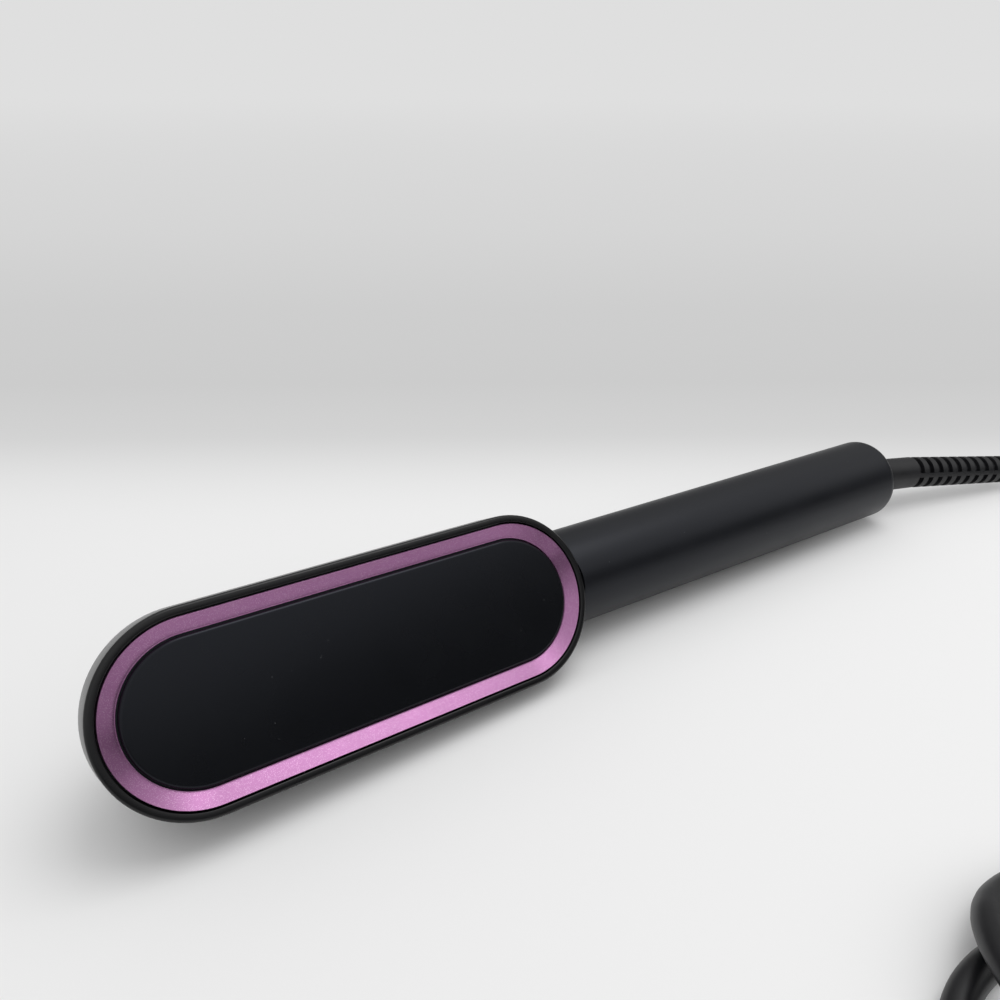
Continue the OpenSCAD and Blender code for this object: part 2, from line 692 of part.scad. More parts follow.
module indicator_window() handle_frame() color("#e8eef2") intersection() {
    bar(handle_r, window_x - 2, window_x + window_l + 2);
    slot_prism(window_x, window_x + window_l, window_w, -handle_r - 1, board_low - 1.1);
}

// Chassis: a floor above the board, a half tube over it, and a pad that the head's tongue rests on
module handle_chassis() handle_frame() color("#2c2c30") difference() {
    union() {
        difference() {
            intersection() {
                bar(inside_r, pad_x, chassis_end);
                block([pad_x - 1, -handle_r, web_low], [chassis_end + 1, handle_r, handle_r]);
            }
            block([pad_x - 1, -handle_r, tongue_low], [pad_x + pad_l, handle_r, handle_r]);
            intersection() {
                bar(inside_r - chassis_wall, pad_x + pad_l, chassis_end + 1);
                block([pad_x, -handle_r, web_low + web_t], [chassis_end + 1, handle_r, handle_r]);
            }
        }
        board_screw_places() cylinder(r = 2.4, h = 6);
    }
    board_screw_places() translate([0, 0, -1]) cylinder(r = 0.8, h = 5.5);
    for (s = [-1, 1]) translate([neck_screw_x, s * neck_screw_y, web_low - 1]) cylinder(r = 1.35, h = 8);
    block([web_gap_x, -8, web_low - 1], [web_gap_x + web_gap_l, 8, web_low + web_t + 1]);
}

module board_screw_places() for (x = [up_x - 6, (down_x + power_x) / 2], s = [-1, 1])
    translate([x, s * board_screw_y, web_low]) children();

module neck_screws() handle_frame() color("#9a9da3") for (s = [-1, 1])
    translate([neck_screw_x, s * neck_screw_y, web_low]) rotate([180, 0, 0]) screw(2, 1.5, tongue_low + 3.6 - web_low);

module board_screws() handle_frame() color("#9a9da3") board_screw_places()
    translate([0, 0, -board_t]) rotate([180, 0, 0]) screw(1.6, 1.1, board_t + 3.4);

module control_board() handle_frame() color("#1f6b3a") difference() {
    block([board_x, -board_w / 2, board_low], [board_x + board_l, board_w / 2, web_low]);
    board_screw_places() translate([0, 0, -board_t - 1]) cylinder(r = 1, h = board_t + 2);
}

module tact_switches() handle_frame() color("#303236") for (x = [up_x, down_x, power_x]) {
    block([x - 3, -3, plunger_z + 0.8], [x + 3, 3, board_low]);
    translate([x, 0, plunger_z]) cylinder(r = 1.75, h = 1);
}

led_pitch = window_l / 6;
module indicator_leds() handle_frame() color("#f2f5f7") for (k = [1:5])
    translate([window_x + k * led_pitch, 0, board_low - 0.4]) cube([0.9, 1.6, 0.8], center = true);

// The triac and the capacitor lie on both sides of the window's light shaft
module triac() handle_frame() color("#26282b") {
    block([window_x, part_y0, board_low - 3.4], [window_x + part_l, part_y1, board_low]);
    block([window_x, part_y0, board_low - 4.6], [window_x + 0.4 * part_l, part_y1, board_low - 3.4]);
}
module capacitor() handle_frame() color("#c9a227") block([window_x, -part_y1, board_low - 4.8],
    [window_x + part_l, -part_y0, board_low]);

module terminal_block() handle_frame() color("#2f7d4f") difference() {
    block([terminal_x, -terminal_y, terminal_low], [terminal_x + terminal_l, terminal_y, board_low]);
    for (k = [-2.5:2.5]) translate([terminal_x + 4, k * 2.5, terminal_low - 1]) cylinder(r = 0.8, h = 2.5);
}

// A wire through a list of points, with round corners
function eased(list, c) = [list[0], for (i = [1:len(list) - 2]) let(a = list[i - 1] - list[i], b = list[i + 1] - list[i],
    m = min(c, norm(a) / 2.2, norm(b) / 2.2)) for (t = [0, 1 / 3, 2 / 3, 1])
    list[i] + m * ((1 - t) * (1 - t) * unit(a) + t * t * unit(b)), list[len(list) - 1]];
module wire(list, r, up = [0, 1, 0]) tube_along(eased(list, 2), r, 6, up);

// The way from a point in the head's frame to the handle's frame
function in_handle(p) = about_y(handle_tilt, p - [head_l / 2, 0, -axis_drop]);
terminal_end = terminal_x + terminal_l + 0.1;
drop_x = web_gap_x + web_gap_l / 2;
function to_board(y, y0) = [[tongue_l + 4, y0, duct_z], [tongue_l + 22, y, duct_z], [drop_x, y, duct_z],
    [drop_x, y, lead_z], [terminal_end, y, lead_z]];

// Heater to board, fuse to board, and fuse to the far end of the heater
beside_clamp = clamp_w / 2 + 1.2;
module heater_leads() handle_frame() color("#b23b3b") {
    wire(concat([in_handle([heater_l / 2 + 0.1, -4.8, head_lead_z]), in_handle([spine - 1.5, -4.8, head_lead_z]),
        in_handle([spine + 8, -1.2, head_lead_z]), [-6, 0, duct_z]], to_board(-1.3, 0)), 0.6);
    wire(concat([in_handle([fuse_l / 2 + 1.6, sensor_y, base_z + fuse_r]), in_handle([14, beside_clamp, head_lead_z]),
        in_handle([spine + 4, beside_clamp, head_lead_z]), [-6, 3.6, duct_z]], to_board(1.2, 3.6)), 0.6);
    wire([in_handle([-fuse_l / 2 - 0.1, sensor_y, base_z + fuse_r]), in_handle([-12, beside_clamp, head_lead_z]),
        in_handle([-clamp_l / 2 - 2.5, beside_clamp, head_lead_z]), in_handle([-clamp_l / 2 - 5, 6.8, head_lead_z]),
        in_handle([-heater_l / 2 - 0.1, 4.6, head_lead_z])], 0.6, [0, 0, 1]);
}

module sensor_leads() handle_frame() color("#e7e3d8") for (s = [0, 1]) let(y = -beside_clamp - 0.3 + s)
    wire(concat([in_handle([sensor_l + 0.1, -sensor_y - 0.5 + s, base_z + sensor_r]),
        in_handle([sensor_l + 7, y, head_lead_z]), in_handle([spine + 2 - 1.5 * s, y, head_lead_z]),
        [-6, -3.6 + 1.2 * s, duct_z]], to_board(-6.3 + 2.5 * s, -3.6 + 1.2 * s)), 0.45);

module supply_leads() handle_frame() color("#7a4a2a") for (k = [0, 1])
    wire([[socket_x - 3.1, -2.5 + 5 * k, lug_z], [socket_x - 5, -2.5 + 5 * k, lug_z],
        [socket_x - 8, 3.8 + 2.5 * k, lug_z + 1], [terminal_end + 2, 3.8 + 2.5 * k, lead_z],
        [terminal_end, 3.8 + 2.5 * k, lead_z]], 0.6);

module rear_screw_place() translate([seat_x + 3.5, 0, -handle_r]) children();
module rear_screw() handle_frame() color("#9a9da3") rear_screw_place() translate([0, 0, 1.3]) rotate([180, 0, 0])
    screw(2, 1.1, 4.2);

// Socket of the swivel: a sleeve in the rear of the handle that carries the spindle's journal at both ends
module swivel_socket() handle_frame() color("#e6e3da") difference() {
    bar(socket_r, socket_x, socket_end);
    bar(journal_r + running, socket_x - 1, socket_end + 1);
    bar(journal_r + 2, socket_x + 2, socket_end - 2.2);
    rear_screw_place() cylinder(r = 1, h = 6.3);
    for (k = [0, 1]) contact_slot(k, 0.2);
}

module contact_slot(k, g) block([ring_x[k] - 1.1 - g, -3.7 + 5 * k - g, -handle_r], [ring_x[k] + 1.1 + g,
    -1.3 + 5 * k + g, -journal_r]);

// Leaf contacts: each has a post that bears on its slip ring and a lug for the supply lead
module contact_springs() handle_frame() color("#c98a4b") for (k = [0, 1]) {
    intersection() {
        difference() {
            contact_slot(k, 0);
            bar(journal_r + slip_t + running, 0, handle_l);
        }
        block([0, -handle_r, lug_z - 0.25], [handle_l, handle_r, 0]);
    }
    block([socket_x - 3, -3.7 + 5 * k, lug_z - 0.25], [ring_x[k] + 1.1, -1.3 + 5 * k, lug_z + 0.25]);
}

module swivel_spindle() swivel_frame() color("#2a2a2e") difference() {
    union() {
        bar(journal_r, socket_x, socket_end + 0.1);
        bar(collar_r, socket_end + 0.1, handle_l - rear_wall - 0.1);
        bar(neck_r, handle_l - rear_wall - 0.1, spindle_end);
    }
    bar(cord_r, socket_end - 6, spindle_end + 1);
}

module slip_rings() swivel_frame() color("#c9a24b") for (x = ring_x) difference() {
    bar(journal_r + slip_t, x - slip_l / 2, x + slip_l / 2);
    bar(journal_r, x - slip_l, x + slip_l);
}

// Strain relief: a smooth elbow, then a tapering sleeve with slots on both sides of its two spines
module strain_relief() swivel_frame() color("#18181a") {
    translate([spindle_end, 0, -relief_bend_r]) rotate([-90, -90, 0]) rotate_extrude(angle = relief_bend)
        translate([relief_bend_r, 0]) circle(relief_r);
    translate([spindle_end + elbow_run, 0, -elbow_drop]) rotate([0, relief_bend, 0]) rotate([spine_turn, 0, 0])
        relief_sleeve();
}

module relief_sleeve() difference() {
    union() {
        bar(relief_r - 0.1, -1, 0.5);
        cone_bar(relief_r - 0.02, relief_tip_r, 0.2, relief_l);
    }
    for (i = [0:slot_count - 1]) let(x = collar_l + i * slot_pitch) difference() {
        bar(relief_r + 1, x, x + slot_l);
        bar(sleeve_r, x - 1, x + slot_l + 1);
        block([x - 1, -relief_r - 2, -spine_w / 2], [x + slot_l + 1, relief_r + 2, spine_w / 2]);
    }
}

// Free cord from the strain relief to the coil
relief_end = [spindle_end + elbow_run + relief_l * cos(relief_bend), 0, -elbow_drop - relief_l * sin(relief_bend)];
relief_way = turned([cos(relief_bend), 0, -sin(relief_bend)]);
cord_start = on_table(relief_end);
module free_cord() color("#1b1b1d") tube_along(curve(concat([cord_start, cord_start + cord_d * relief_way], route,
    [coil_points[0] - cord_d * coil_way(0), coil_points[0]]), 2), cord_r, cord_sides);

// Coil: an inward spiral on the table, a half turn that climbs, and an outward spiral above it
coil_total = 2 * coil_turns + 0.5;
coil_steps = round(coil_total * loop_rings);
coil_dip = turn_step / (2 * PI);
function coil_radius(u) = u < coil_turns ? coil_high - turn_step * u
    : u < coil_turns + 0.5 ? coil_low - coil_dip * sin(360 * (u - coil_turns))
    : coil_low + turn_step * (u - coil_turns - 0.5);
function coil_rise(u) = turn_step * max(0, min(1, (u - coil_turns) / 0.5));
function coil_at(u) = let(a = coil_start + 360 * u)
    [coil_mid.x + coil_radius(u) * cos(a), coil_mid.y + coil_radius(u) * sin(a), cord_r + coil_rise(u)];
function coil_way(u) = [-sin(coil_start + 360 * u), cos(coil_start + 360 * u), 0];
coil_points = concat([coil_at(0) - cord_d * coil_way(0)],
    [for (i = [0:coil_steps]) coil_at(coil_total * i / coil_steps)],
    [coil_at(coil_total) + cord_d * coil_way(coil_total)]);
coil_end = coil_points[coil_steps + 2];
// Least gap between the coil's turns, measured between points that lie more than half a turn apart
coil_least_gap = min([for (i = [0:len(coil_points) - 1], j = [i + loop_rings / 2:len(coil_points) - 1])
    norm(coil_points[i] - coil_points[j])]) - cord_d;
echo(coil_least_gap = coil_least_gap);
module cord_coil() color("#1b1b1d") tube_along(coil_points, cord_r, loop_sides);

module tie_section(g, low, top) translate([-turn_step * coil_turns / 2 - cord_r - g, low])
    square([turn_step * coil_turns + cord_d + 2 * g, turn_step + cord_d + top - low]);
module cord_tie() color("#2b2b2e") translate([coil_mid.x, coil_mid.y, 0]) rotate(tie_at)
    translate([coil_d / 2, tie_w / 2, 0]) rotate([90, 0, 0]) linear_extrude(tie_w) difference() {
        tie_section(tie_gap + tie_t, 0, tie_gap + tie_t);
        tie_section(tie_gap, -1, tie_gap);
    }

// Plug and the short lead from the coil to it
module plug_lead() color("#1b1b1d") tube_along(curve(concat([coil_end, coil_end + cord_d * coil_way(coil_total)],
    lead_route), 2), cord_r, cord_sides);

module plug_body() color("#1b1b1d") translate(plug_at) rotate([90, 0, 0]) difference() {
    union() {
        cylinder(r1 = cord_r + 1.2, r2 = plug_t / 2 - 0.6, h = plug_neck + 0.1);
        translate([0, 0, plug_neck]) linear_extrude(plug_l - plug_neck) plug_outline(0);
    }
    for (k = [0:2]) translate([0, 0, 2 + 2.6 * k]) difference() {
        cylinder(r = plug_t, h = 1.2);
        translate([0, 0, -1]) cylinder(r = cord_r + 0.6 + 0.7 * k, h = 4);
    }
    for (k = [0:3]) translate([0, 0, plug_neck + 7 + 4 * k]) linear_extrude(1.6) difference() {
        square([2 * plug_w, 2 * plug_t], center = true);
        plug_outline(0.7);
        square([plug_w - plug_t, 2 * plug_t], center = true);
    }
}

module plug_outline(g) {
    square([plug_w - plug_t, plug_t - 2 * g], center = true);
    for (s = [-1, 1]) translate([s * (plug_w - plug_t) / 2, 0]) circle(plug_t / 2 - g);
}

module plug_blades() color("#c9ccd0") translate(plug_at) for (s = [-1, 1])
    translate([s * 6.35 - 0.75, -plug_l - blade_l, -3.2]) cube([1.5, blade_l, 6.4]);

head_shell();
back_cover();
accent_ring();
back_plate();
cover_screws();
comb_frame();
heat_comb();
comb_screws();
heater_plate();
heater_clamp();
clamp_screws();
mica_sheet();
thermistor();
thermal_fuse();
handle_back();
handle_front();
handle_chassis();
neck_screws();
control_panel();
indicator_window();
control_board();
board_screws();
tact_switches();
indicator_leds();
triac();
capacitor();
terminal_block();
heater_leads();
sensor_leads();
supply_leads();
rear_screw();
swivel_socket();
contact_springs();
power_button();
temp_up_button();
temp_down_button();
swivel_spindle();
slip_rings();
strain_relief();
free_cord();
cord_coil();
cord_tie();
plug_lead();
plug_body();
plug_blades();
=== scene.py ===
"""Hair straightening brush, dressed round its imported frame.

The brush lies on a pale table, on the edge of its head, its teeth and its handle. Sizes are in
millimetres and angles in degrees until a finished mesh is put in its place. The head's frame has X
along the head towards the handle and Z out of its back; the handle's frame has X along its axis,
with the comb at -Z.
"""

from __future__ import annotations

import json
import logging
import math
from contextlib import contextmanager
from dataclasses import dataclass
from enum import Enum
from typing import Any, Iterator, Optional, Sequence

import bmesh
import bpy
from mathutils import Matrix, Vector

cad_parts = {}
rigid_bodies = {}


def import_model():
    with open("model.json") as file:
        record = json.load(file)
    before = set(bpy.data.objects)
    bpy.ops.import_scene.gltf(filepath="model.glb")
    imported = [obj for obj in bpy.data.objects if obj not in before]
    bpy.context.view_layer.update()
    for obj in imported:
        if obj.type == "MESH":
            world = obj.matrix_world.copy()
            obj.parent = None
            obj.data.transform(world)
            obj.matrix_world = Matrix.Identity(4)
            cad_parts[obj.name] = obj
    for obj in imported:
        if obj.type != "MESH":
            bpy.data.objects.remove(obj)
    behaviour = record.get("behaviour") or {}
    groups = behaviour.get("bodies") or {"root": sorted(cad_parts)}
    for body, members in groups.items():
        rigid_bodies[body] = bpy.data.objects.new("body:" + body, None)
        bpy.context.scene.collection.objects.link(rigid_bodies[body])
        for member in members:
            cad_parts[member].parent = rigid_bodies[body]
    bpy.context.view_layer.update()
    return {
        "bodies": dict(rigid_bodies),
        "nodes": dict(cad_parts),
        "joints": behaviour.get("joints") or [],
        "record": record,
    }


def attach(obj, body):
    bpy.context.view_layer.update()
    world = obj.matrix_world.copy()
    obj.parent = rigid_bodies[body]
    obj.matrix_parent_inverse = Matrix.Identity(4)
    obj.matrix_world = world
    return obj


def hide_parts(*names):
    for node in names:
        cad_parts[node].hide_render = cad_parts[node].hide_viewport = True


LOG = logging.getLogger("brush")
MM = 0.001
# Points nearer than this, in mm, are one point
NEAR = 0.001
# Nearly all values of a noise texture lie between these
NOISE_LOW, NOISE_HIGH = 0.3, 0.7
SMOOTH: dict[Any, Any] = {"interpolation_type": "SMOOTHSTEP"}
Point = tuple[float, float, float]
Section = list[tuple[float, float]]
Range = tuple[float, float]


class Body(str, Enum):
    """The CAD bodies that a piece can ride on."""

    BRUSH = "brush"
    POWER = "power_key"
    UP = "temp_up_key"
    DOWN = "temp_down_key"
    SWIVEL = "swivel"


def turn(degrees: float, axis: str) -> Matrix:
    """Returns a turn by some degrees about a named axis."""
    return Matrix.Rotation(math.radians(degrees), 4, axis)


# Where part.scad lays the frames of the head and the handle on the table
TABLE = Matrix.Identity(4)
HEAD = (
    Matrix.Translation((-76.65896, -10.24976, 29.30347))
    @ turn(2.727802, "Y")
    @ turn(59.614002, "X")
)
HANDLE = HEAD @ Matrix.Translation((68.7, 0, -15)) @ turn(-2.83, "Y")


# Materials


def linear(colour: str) -> tuple[float, float, float, float]:
    """Turns an sRGB hex colour into the linear one that a shader takes.

    Args:
        colour: Six hex digits after a hash.

    Returns:
        Red, green, blue and a full alpha.
    """
    parts = [int(colour[i : i + 2], 16) / 255 for i in (1, 3, 5)]
    red, green, blue = (
        p / 12.92 if p <= 0.04045 else ((p + 0.055) / 1.055) ** 2.4 for p in parts
    )
    return red, green, blue, 1.0


def set_node(node: bpy.types.Node, settings: dict[Any, Any]) -> bpy.types.Node:
    """Sets what a node is given, and links the inputs that are given a socket.

    Args:
        node: The node.
        settings: Its properties by name, and its inputs by name or number.

    Returns:
        The same node.
    """
    for key, value in settings.items():
        if not isinstance(key, int) and key not in node.inputs:
            setattr(node, key, value)
        elif isinstance(value, bpy.types.NodeSocket):
            node.id_data.links.new(value, node.inputs[key])
        else:
            node.inputs[key].default_value = value
    return node


def add_node(
    tree: bpy.types.NodeTree, kind: str, settings: Optional[dict[Any, Any]] = None
) -> bpy.types.Node:
    """Adds one node to a tree, with its settings and links.

    Args:
        tree: The tree that takes the node.
        kind: The node's type without its ShaderNode prefix.
        settings: What set_node takes.

    Returns:
        The new node.
    """
    return set_node(tree.nodes.new("ShaderNode" + kind), settings or {})


@dataclass(frozen=True)
class Flecks:
    """Small spots scattered over a surface, such as dust or metal flake.

    Attributes:
        colour: Their colour.
        cell: Mean distance from one to the next, in mm.
        radius: Radius of a spot, in mm.
        share: Share of the cells that hold a spot.
    """

    colour: str
    cell: float
    radius: float
    share: float


@dataclass(frozen=True)
class Finish:
    """A real material with the surface that its making leaves.

    Attributes:
        name: What it is and how its surface was made.
        colour: Its main colour.
        cloud: The colour that its slow variation goes to.
        cloud_size: Size of that variation, in mm.
        grain: Size of its fine relief, in mm.
        depth: Depth of that relief, in mm.
        roughness: Mean roughness.
        spread: How far the roughness strays from its mean.
        metallic: One for bare metal.
        ior: Index of refraction, left at the default for metals.
        specular: How much of the plain reflection its surface keeps, 0.5 for all of it.
        tint: Tint of that reflection.
        coat: Weight of a clear coat.
        transmission: Weight of light that passes through.
        run: Scale of the relief along X, Y and Z, under one where making draws it out.
        flecks: Its spots.
    """

    name: str
    colour: str
    cloud: str
    cloud_size: float
    grain: float
    depth: float
    roughness: float
    spread: float
    metallic: float = 0.0
    ior: float = 1.5
    specular: float = 0.5
    tint: str = "#ffffff"
    coat: float = 0.0
    transmission: float = 0.0
    run: Point = (1, 1, 1)
    flecks: Optional[Flecks] = None

    def build(self) -> bpy.types.Material:
        """Returns the material, made on the first call."""
        made = bpy.data.materials.get(self.name)
        if made:
            return made
        made = bpy.data.materials.new(self.name)
        made.use_nodes = True
        tree = made.node_tree
        place = add_node(tree, "TexCoord").outputs["Object"]
        clouds = add_node(
            tree, "TexNoise", {"Vector": place, "Scale": 1 / (self.cloud_size * MM), "Detail": 3}
        ).outputs[0]
        colour = add_node(
            tree,
            "Mix",
            {"data_type": "RGBA", 0: clouds, 6: linear(self.colour), 7: linear(self.cloud)},
        ).outputs[2]
        if self.flecks:
            colour = self._flecked(tree, place, colour)
        low, high = self.roughness - self.spread, self.roughness + self.spread
        rough = add_node(
            tree, "MapRange", {0: clouds, 1: NOISE_LOW, 2: NOISE_HIGH, 3: low, 4: high}
        )
        run = add_node(tree, "Mapping", {"Vector": place, "Scale": self.run}).outputs[0]
        grain = add_node(
            tree, "TexNoise", {"Vector": run, "Scale": 1 / (self.grain * MM), "Detail": 2}
        ).outputs[0]
        bump = add_node(
            tree, "Bump", {"Height": grain, "Strength": 1, "Distance": self.depth * MM}
        )
        shader = set_node(
            tree.nodes["Principled BSDF"],
            {
                "Base Color": colour,
                "Roughness": rough.outputs[0],
                "Normal": bump.outputs[0],
                "Metallic": self.metallic,
                "Coat Weight": self.coat,
                "Transmission Weight": self.transmission,
            },
        )
        if not self.metallic:
            tint = linear(self.tint)
            set_node(
                shader,
                {"IOR": self.ior, "Specular IOR Level": self.specular, "Specular Tint": tint},
            )
        return made

    def _flecked(
        self,
        tree: bpy.types.NodeTree,
        place: bpy.types.NodeSocket,
        colour: bpy.types.NodeSocket,
    ) -> bpy.types.NodeSocket:
        """Scatters the flecks over a colour.

        Args:
            tree: The material's tree.
            place: The coordinates that the pattern reads.
            colour: The colour under the flecks.

        Returns:
            The colour with its flecks.
        """
        spots = self.flecks
        cells = add_node(tree, "TexVoronoi", {"Vector": place, "Scale": 1 / (spots.cell * MM)})
        draw = add_node(tree, "SeparateColor", {0: cells.outputs["Color"]}).outputs[0]
        near, chosen = (
            add_node(tree, "Math", {"operation": "LESS_THAN", 0: value, 1: limit}).outputs[0]
            for value, limit in (
                (cells.outputs["Distance"], spots.radius / spots.cell),
                (draw, spots.share),
            )
        )
        both = add_node(tree, "Math", {"operation": "MULTIPLY", 0: near, 1: chosen}).outputs[0]
        fleck = linear(spots.colour)
        return add_node(
            tree, "Mix", {"data_type": "RGBA", 0: both, 6: colour, 7: fleck}
        ).outputs[2]


# A grain finer than about 0.12 mm wouldn't show, so it is drawn at that size or a little over
# Dust on the lacquer, drawn 0.2 mm wide, coarser than it is, so that it shows
DUST = Flecks("#505153", cell=2.6, radius=0.11, share=0.28)
# ABS with a sprayed soft-touch lacquer: deep matt black that turns grey where light grazes it
SOFT_TOUCH = Finish(
    "Soft-touch lacquered ABS", "#0e0f12", "#131418", cloud_size=18, grain=0.16, depth=0.004,
    roughness=0.37, spread=0.03, ior=1.48, specular=0.32, tint="#e4e8f4", flecks=DUST,
)
# Heat-proof nylon moulded in a spark-eroded tool: satin black with a fine leathery grain
MOULDED_NYLON = Finish(
    "Spark-textured moulded nylon", "#121214", "#18181b", cloud_size=10, grain=0.3, depth=0.008,
    roughness=0.5, spread=0.05, ior=1.53,
)
# Satin-lacquered ABS of the head's rim and side: black, smoother and glossier than the handle
SATIN_ABS = Finish(
    "Satin lacquered ABS", "#08080a", "#0c0c0e", cloud_size=14, grain=0.2, depth=0.003,
    roughness=0.28, spread=0.03, ior=1.52, specular=0.33,
)
# Matt-lacquered ABS plate: near black straight on, greyer where light grazes it, and dusty
MATT_PLATE = Finish(
    "Matt lacquered ABS plate", "#08090b", "#0b0c0e", cloud_size=22, grain=0.18, depth=0.003,
    roughness=0.27, spread=0.02, specular=0.28, tint="#dfe4f5", flecks=DUST,
)
# Metallic lacquer over an ABS ring: purple with lighter flakes, drawn 0.14 mm wide to show
RING_LACQUER = Finish(
    "Purple metallic lacquer", "#94648c", "#a3739b", cloud_size=7, grain=0.25, depth=0.004,
    roughness=0.33, spread=0.04, metallic=0.9,
    flecks=Flecks("#c09aba", cell=0.2, radius=0.07, share=0.4),
)
# PVC sheath drawn over the mains cord: slightly glossy black with a shallow unevenness
PVC_SHEATH = Finish(
    "Extruded PVC sheath", "#0e0e10", "#131316", cloud_size=9, grain=0.8, depth=0.008,
    roughness=0.42, spread=0.05, ior=1.5, specular=0.4,
)
# Flexible PVC moulded over the cord: satin black, a little softer in shine than the sheath
PVC_BOOT = Finish(
    "Moulded flexible PVC", "#0f0f12", "#141417", cloud_size=6, grain=0.25, depth=0.006,
    roughness=0.45, spread=0.05, specular=0.4,
)
# Hook-and-loop nylon strap: dull black with a coarse nap
LOOP_STRAP = Finish(
    "Woven nylon loop strap", "#18181a", "#242427", cloud_size=2, grain=0.45, depth=0.09,
    roughness=0.9, spread=0.05,
)
# Die-cast aluminium with a ceramic coat: warm grey with specks, drawn 0.3 mm wide to show
CERAMIC_COAT = Finish(
    "Ceramic-coated die-cast aluminium", "#4a4347", "#5c5358", cloud_size=5, grain=0.18,
    depth=0.006, roughness=0.36, spread=0.06, metallic=0.7,
    flecks=Flecks("#8a7f86", cell=0.4, radius=0.14, share=0.4),
)
# Polished ABS panel: piano black, mirror-like under a clear coat
PANEL_GLOSS = Finish(
    "Polished black ABS", "#060607", "#09090a", cloud_size=10, grain=0.6, depth=0.001,
    roughness=0.12, spread=0.02, coat=0.5,
)
# Matt moulded ABS of the keys: dark grey, paler and duller than the panel round them
KEY_ABS = Finish(
    "Matt moulded ABS keys", "#1f1f22", "#252528", cloud_size=5, grain=0.2, depth=0.006,
    roughness=0.5, spread=0.04,
)
# White pad print on the keys: dead matt ink with a faint mottle
PAD_PRINT = Finish(
    "White pad-print ink", "#d9dadc", "#e6e7e8", cloud_size=1.5, grain=0.15, depth=0.004,
    roughness=0.6, spread=0.05,
)
# Smoked polycarbonate window: dark glassy strip over the lamps
SMOKED_PC = Finish(
    "Smoked polycarbonate", "#5b6066", "#666b71", cloud_size=8, grain=0.8, depth=0.001,
    roughness=0.1, spread=0.02, ior=1.585, transmission=0.9,
)
# Zinc-plated steel screws: cool grey metal, mottled by the plating
ZINC_STEEL = Finish(
    "Zinc-plated steel", "#a9adb3", "#bfc3c8", cloud_size=1.5, grain=0.12, depth=0.004,
    roughness=0.32, spread=0.06, metallic=1,
)
# Cold-rolled spring steel clamp: pale metal with long rolling lines
ROLLED_STEEL = Finish(
    "Rolled spring steel", "#b4b6b9", "#c6c8ca", cloud_size=6, grain=0.2, depth=0.004,
    roughness=0.34, spread=0.06, metallic=1, run=(0.05, 1, 1),
)
# Nickel-plated brass plug blades: bright, faintly warm, with fine lengthwise polish
NICKEL_BRASS = Finish(
    "Nickel-plated brass", "#c8c6bf", "#d6d4cd", cloud_size=5, grain=0.12, depth=0.002,
    roughness=0.2, spread=0.04, metallic=1, run=(1, 0.05, 1),
)
# Turned brass slip rings: warm yellow metal with fine rings of turning
TURNED_BRASS = Finish(
    "Turned brass", "#b8923f", "#c9a350", cloud_size=2, grain=0.12, depth=0.003, roughness=0.28,
    spread=0.05, metallic=1, run=(1, 0.1, 0.1),
)
# Rolled phosphor bronze leaf contacts: reddish brown metal with an even sheen
ROLLED_BRONZE = Finish(
    "Rolled phosphor bronze", "#b47a4a", "#c48a59", cloud_size=3, grain=0.15, depth=0.003,
    roughness=0.3, spread=0.05, metallic=1,
)
# Unpainted moulded ABS of the inner parts: dull dark grey with a fine grain
INNER_ABS = Finish(
    "Moulded black ABS", "#232326", "#2a2a2e", cloud_size=8, grain=0.25, depth=0.008,
    roughness=0.55, spread=0.05,
)
# Alumina ceramic heater plate: chalk white, fired, with a dry surface
ALUMINA = Finish(
    "Fired alumina ceramic", "#d8d4c8", "#e4e1d6", cloud_size=4, grain=0.2, depth=0.006,
    roughness=0.6, spread=0.06, ior=1.76,
)
# Muscovite mica sheet: silvery brown flakes pressed together
MICA = Finish(
    "Pressed mica sheet", "#a8966a", "#c2b188", cloud_size=3, grain=0.6, depth=0.01, roughness=0.4,
    spread=0.1, flecks=Flecks("#ded2ae", cell=1.2, radius=0.5, share=0.5),
)
# Glass bead of the temperature sensor: glossy amber
BEAD_GLASS = Finish(
    "Fused glass bead", "#9c4f1f", "#b8622b", cloud_size=1.5, grain=0.4, depth=0.002,
    roughness=0.15, spread=0.03, ior=1.52, coat=0.4,
)
# Tinned steel case of the thermal fuse: bright grey metal with a soft shine
TINNED_CASE = Finish(
    "Tinned steel case", "#b9bbbe", "#cfd1d3", cloud_size=2, grain=0.15, depth=0.003, roughness=0.3,
    spread=0.06, metallic=1,
)
# FR-4 board under green solder mask: glossy green with a faint mottle
SOLDER_MASK = Finish(
    "Green solder-masked FR-4", "#174f2c", "#1f6237", cloud_size=1.2, grain=0.5, depth=0.01,
    roughness=0.3, spread=0.05, coat=0.3,
)
# Moulded epoxy of switches and triac: dull charcoal
EPOXY = Finish(
    "Moulded epoxy", "#1d1e20", "#27282b", cloud_size=3, grain=0.12, depth=0.006, roughness=0.6,
    spread=0.05,
)
# White epoxy lens of the indicator lamps: smooth milky white
LED_LENS = Finish(
    "White epoxy lens", "#e6e8ea", "#f2f4f5", cloud_size=1, grain=0.3, depth=0.002, roughness=0.3,
    spread=0.04,
)
# Dipped polyester film capacitor: mustard yellow with a glossy, uneven skin
DIPPED_FILM = Finish(
    "Dipped polyester film", "#b98f1c", "#cba32c", cloud_size=2.5, grain=0.5, depth=0.02,
    roughness=0.35, spread=0.06, coat=0.2,
)
# Polyamide terminal block: satin green
GREEN_NYLON = Finish(
    "Moulded green nylon", "#276b42", "#317d4f", cloud_size=4, grain=0.25, depth=0.006,
    roughness=0.45, spread=0.05,
)
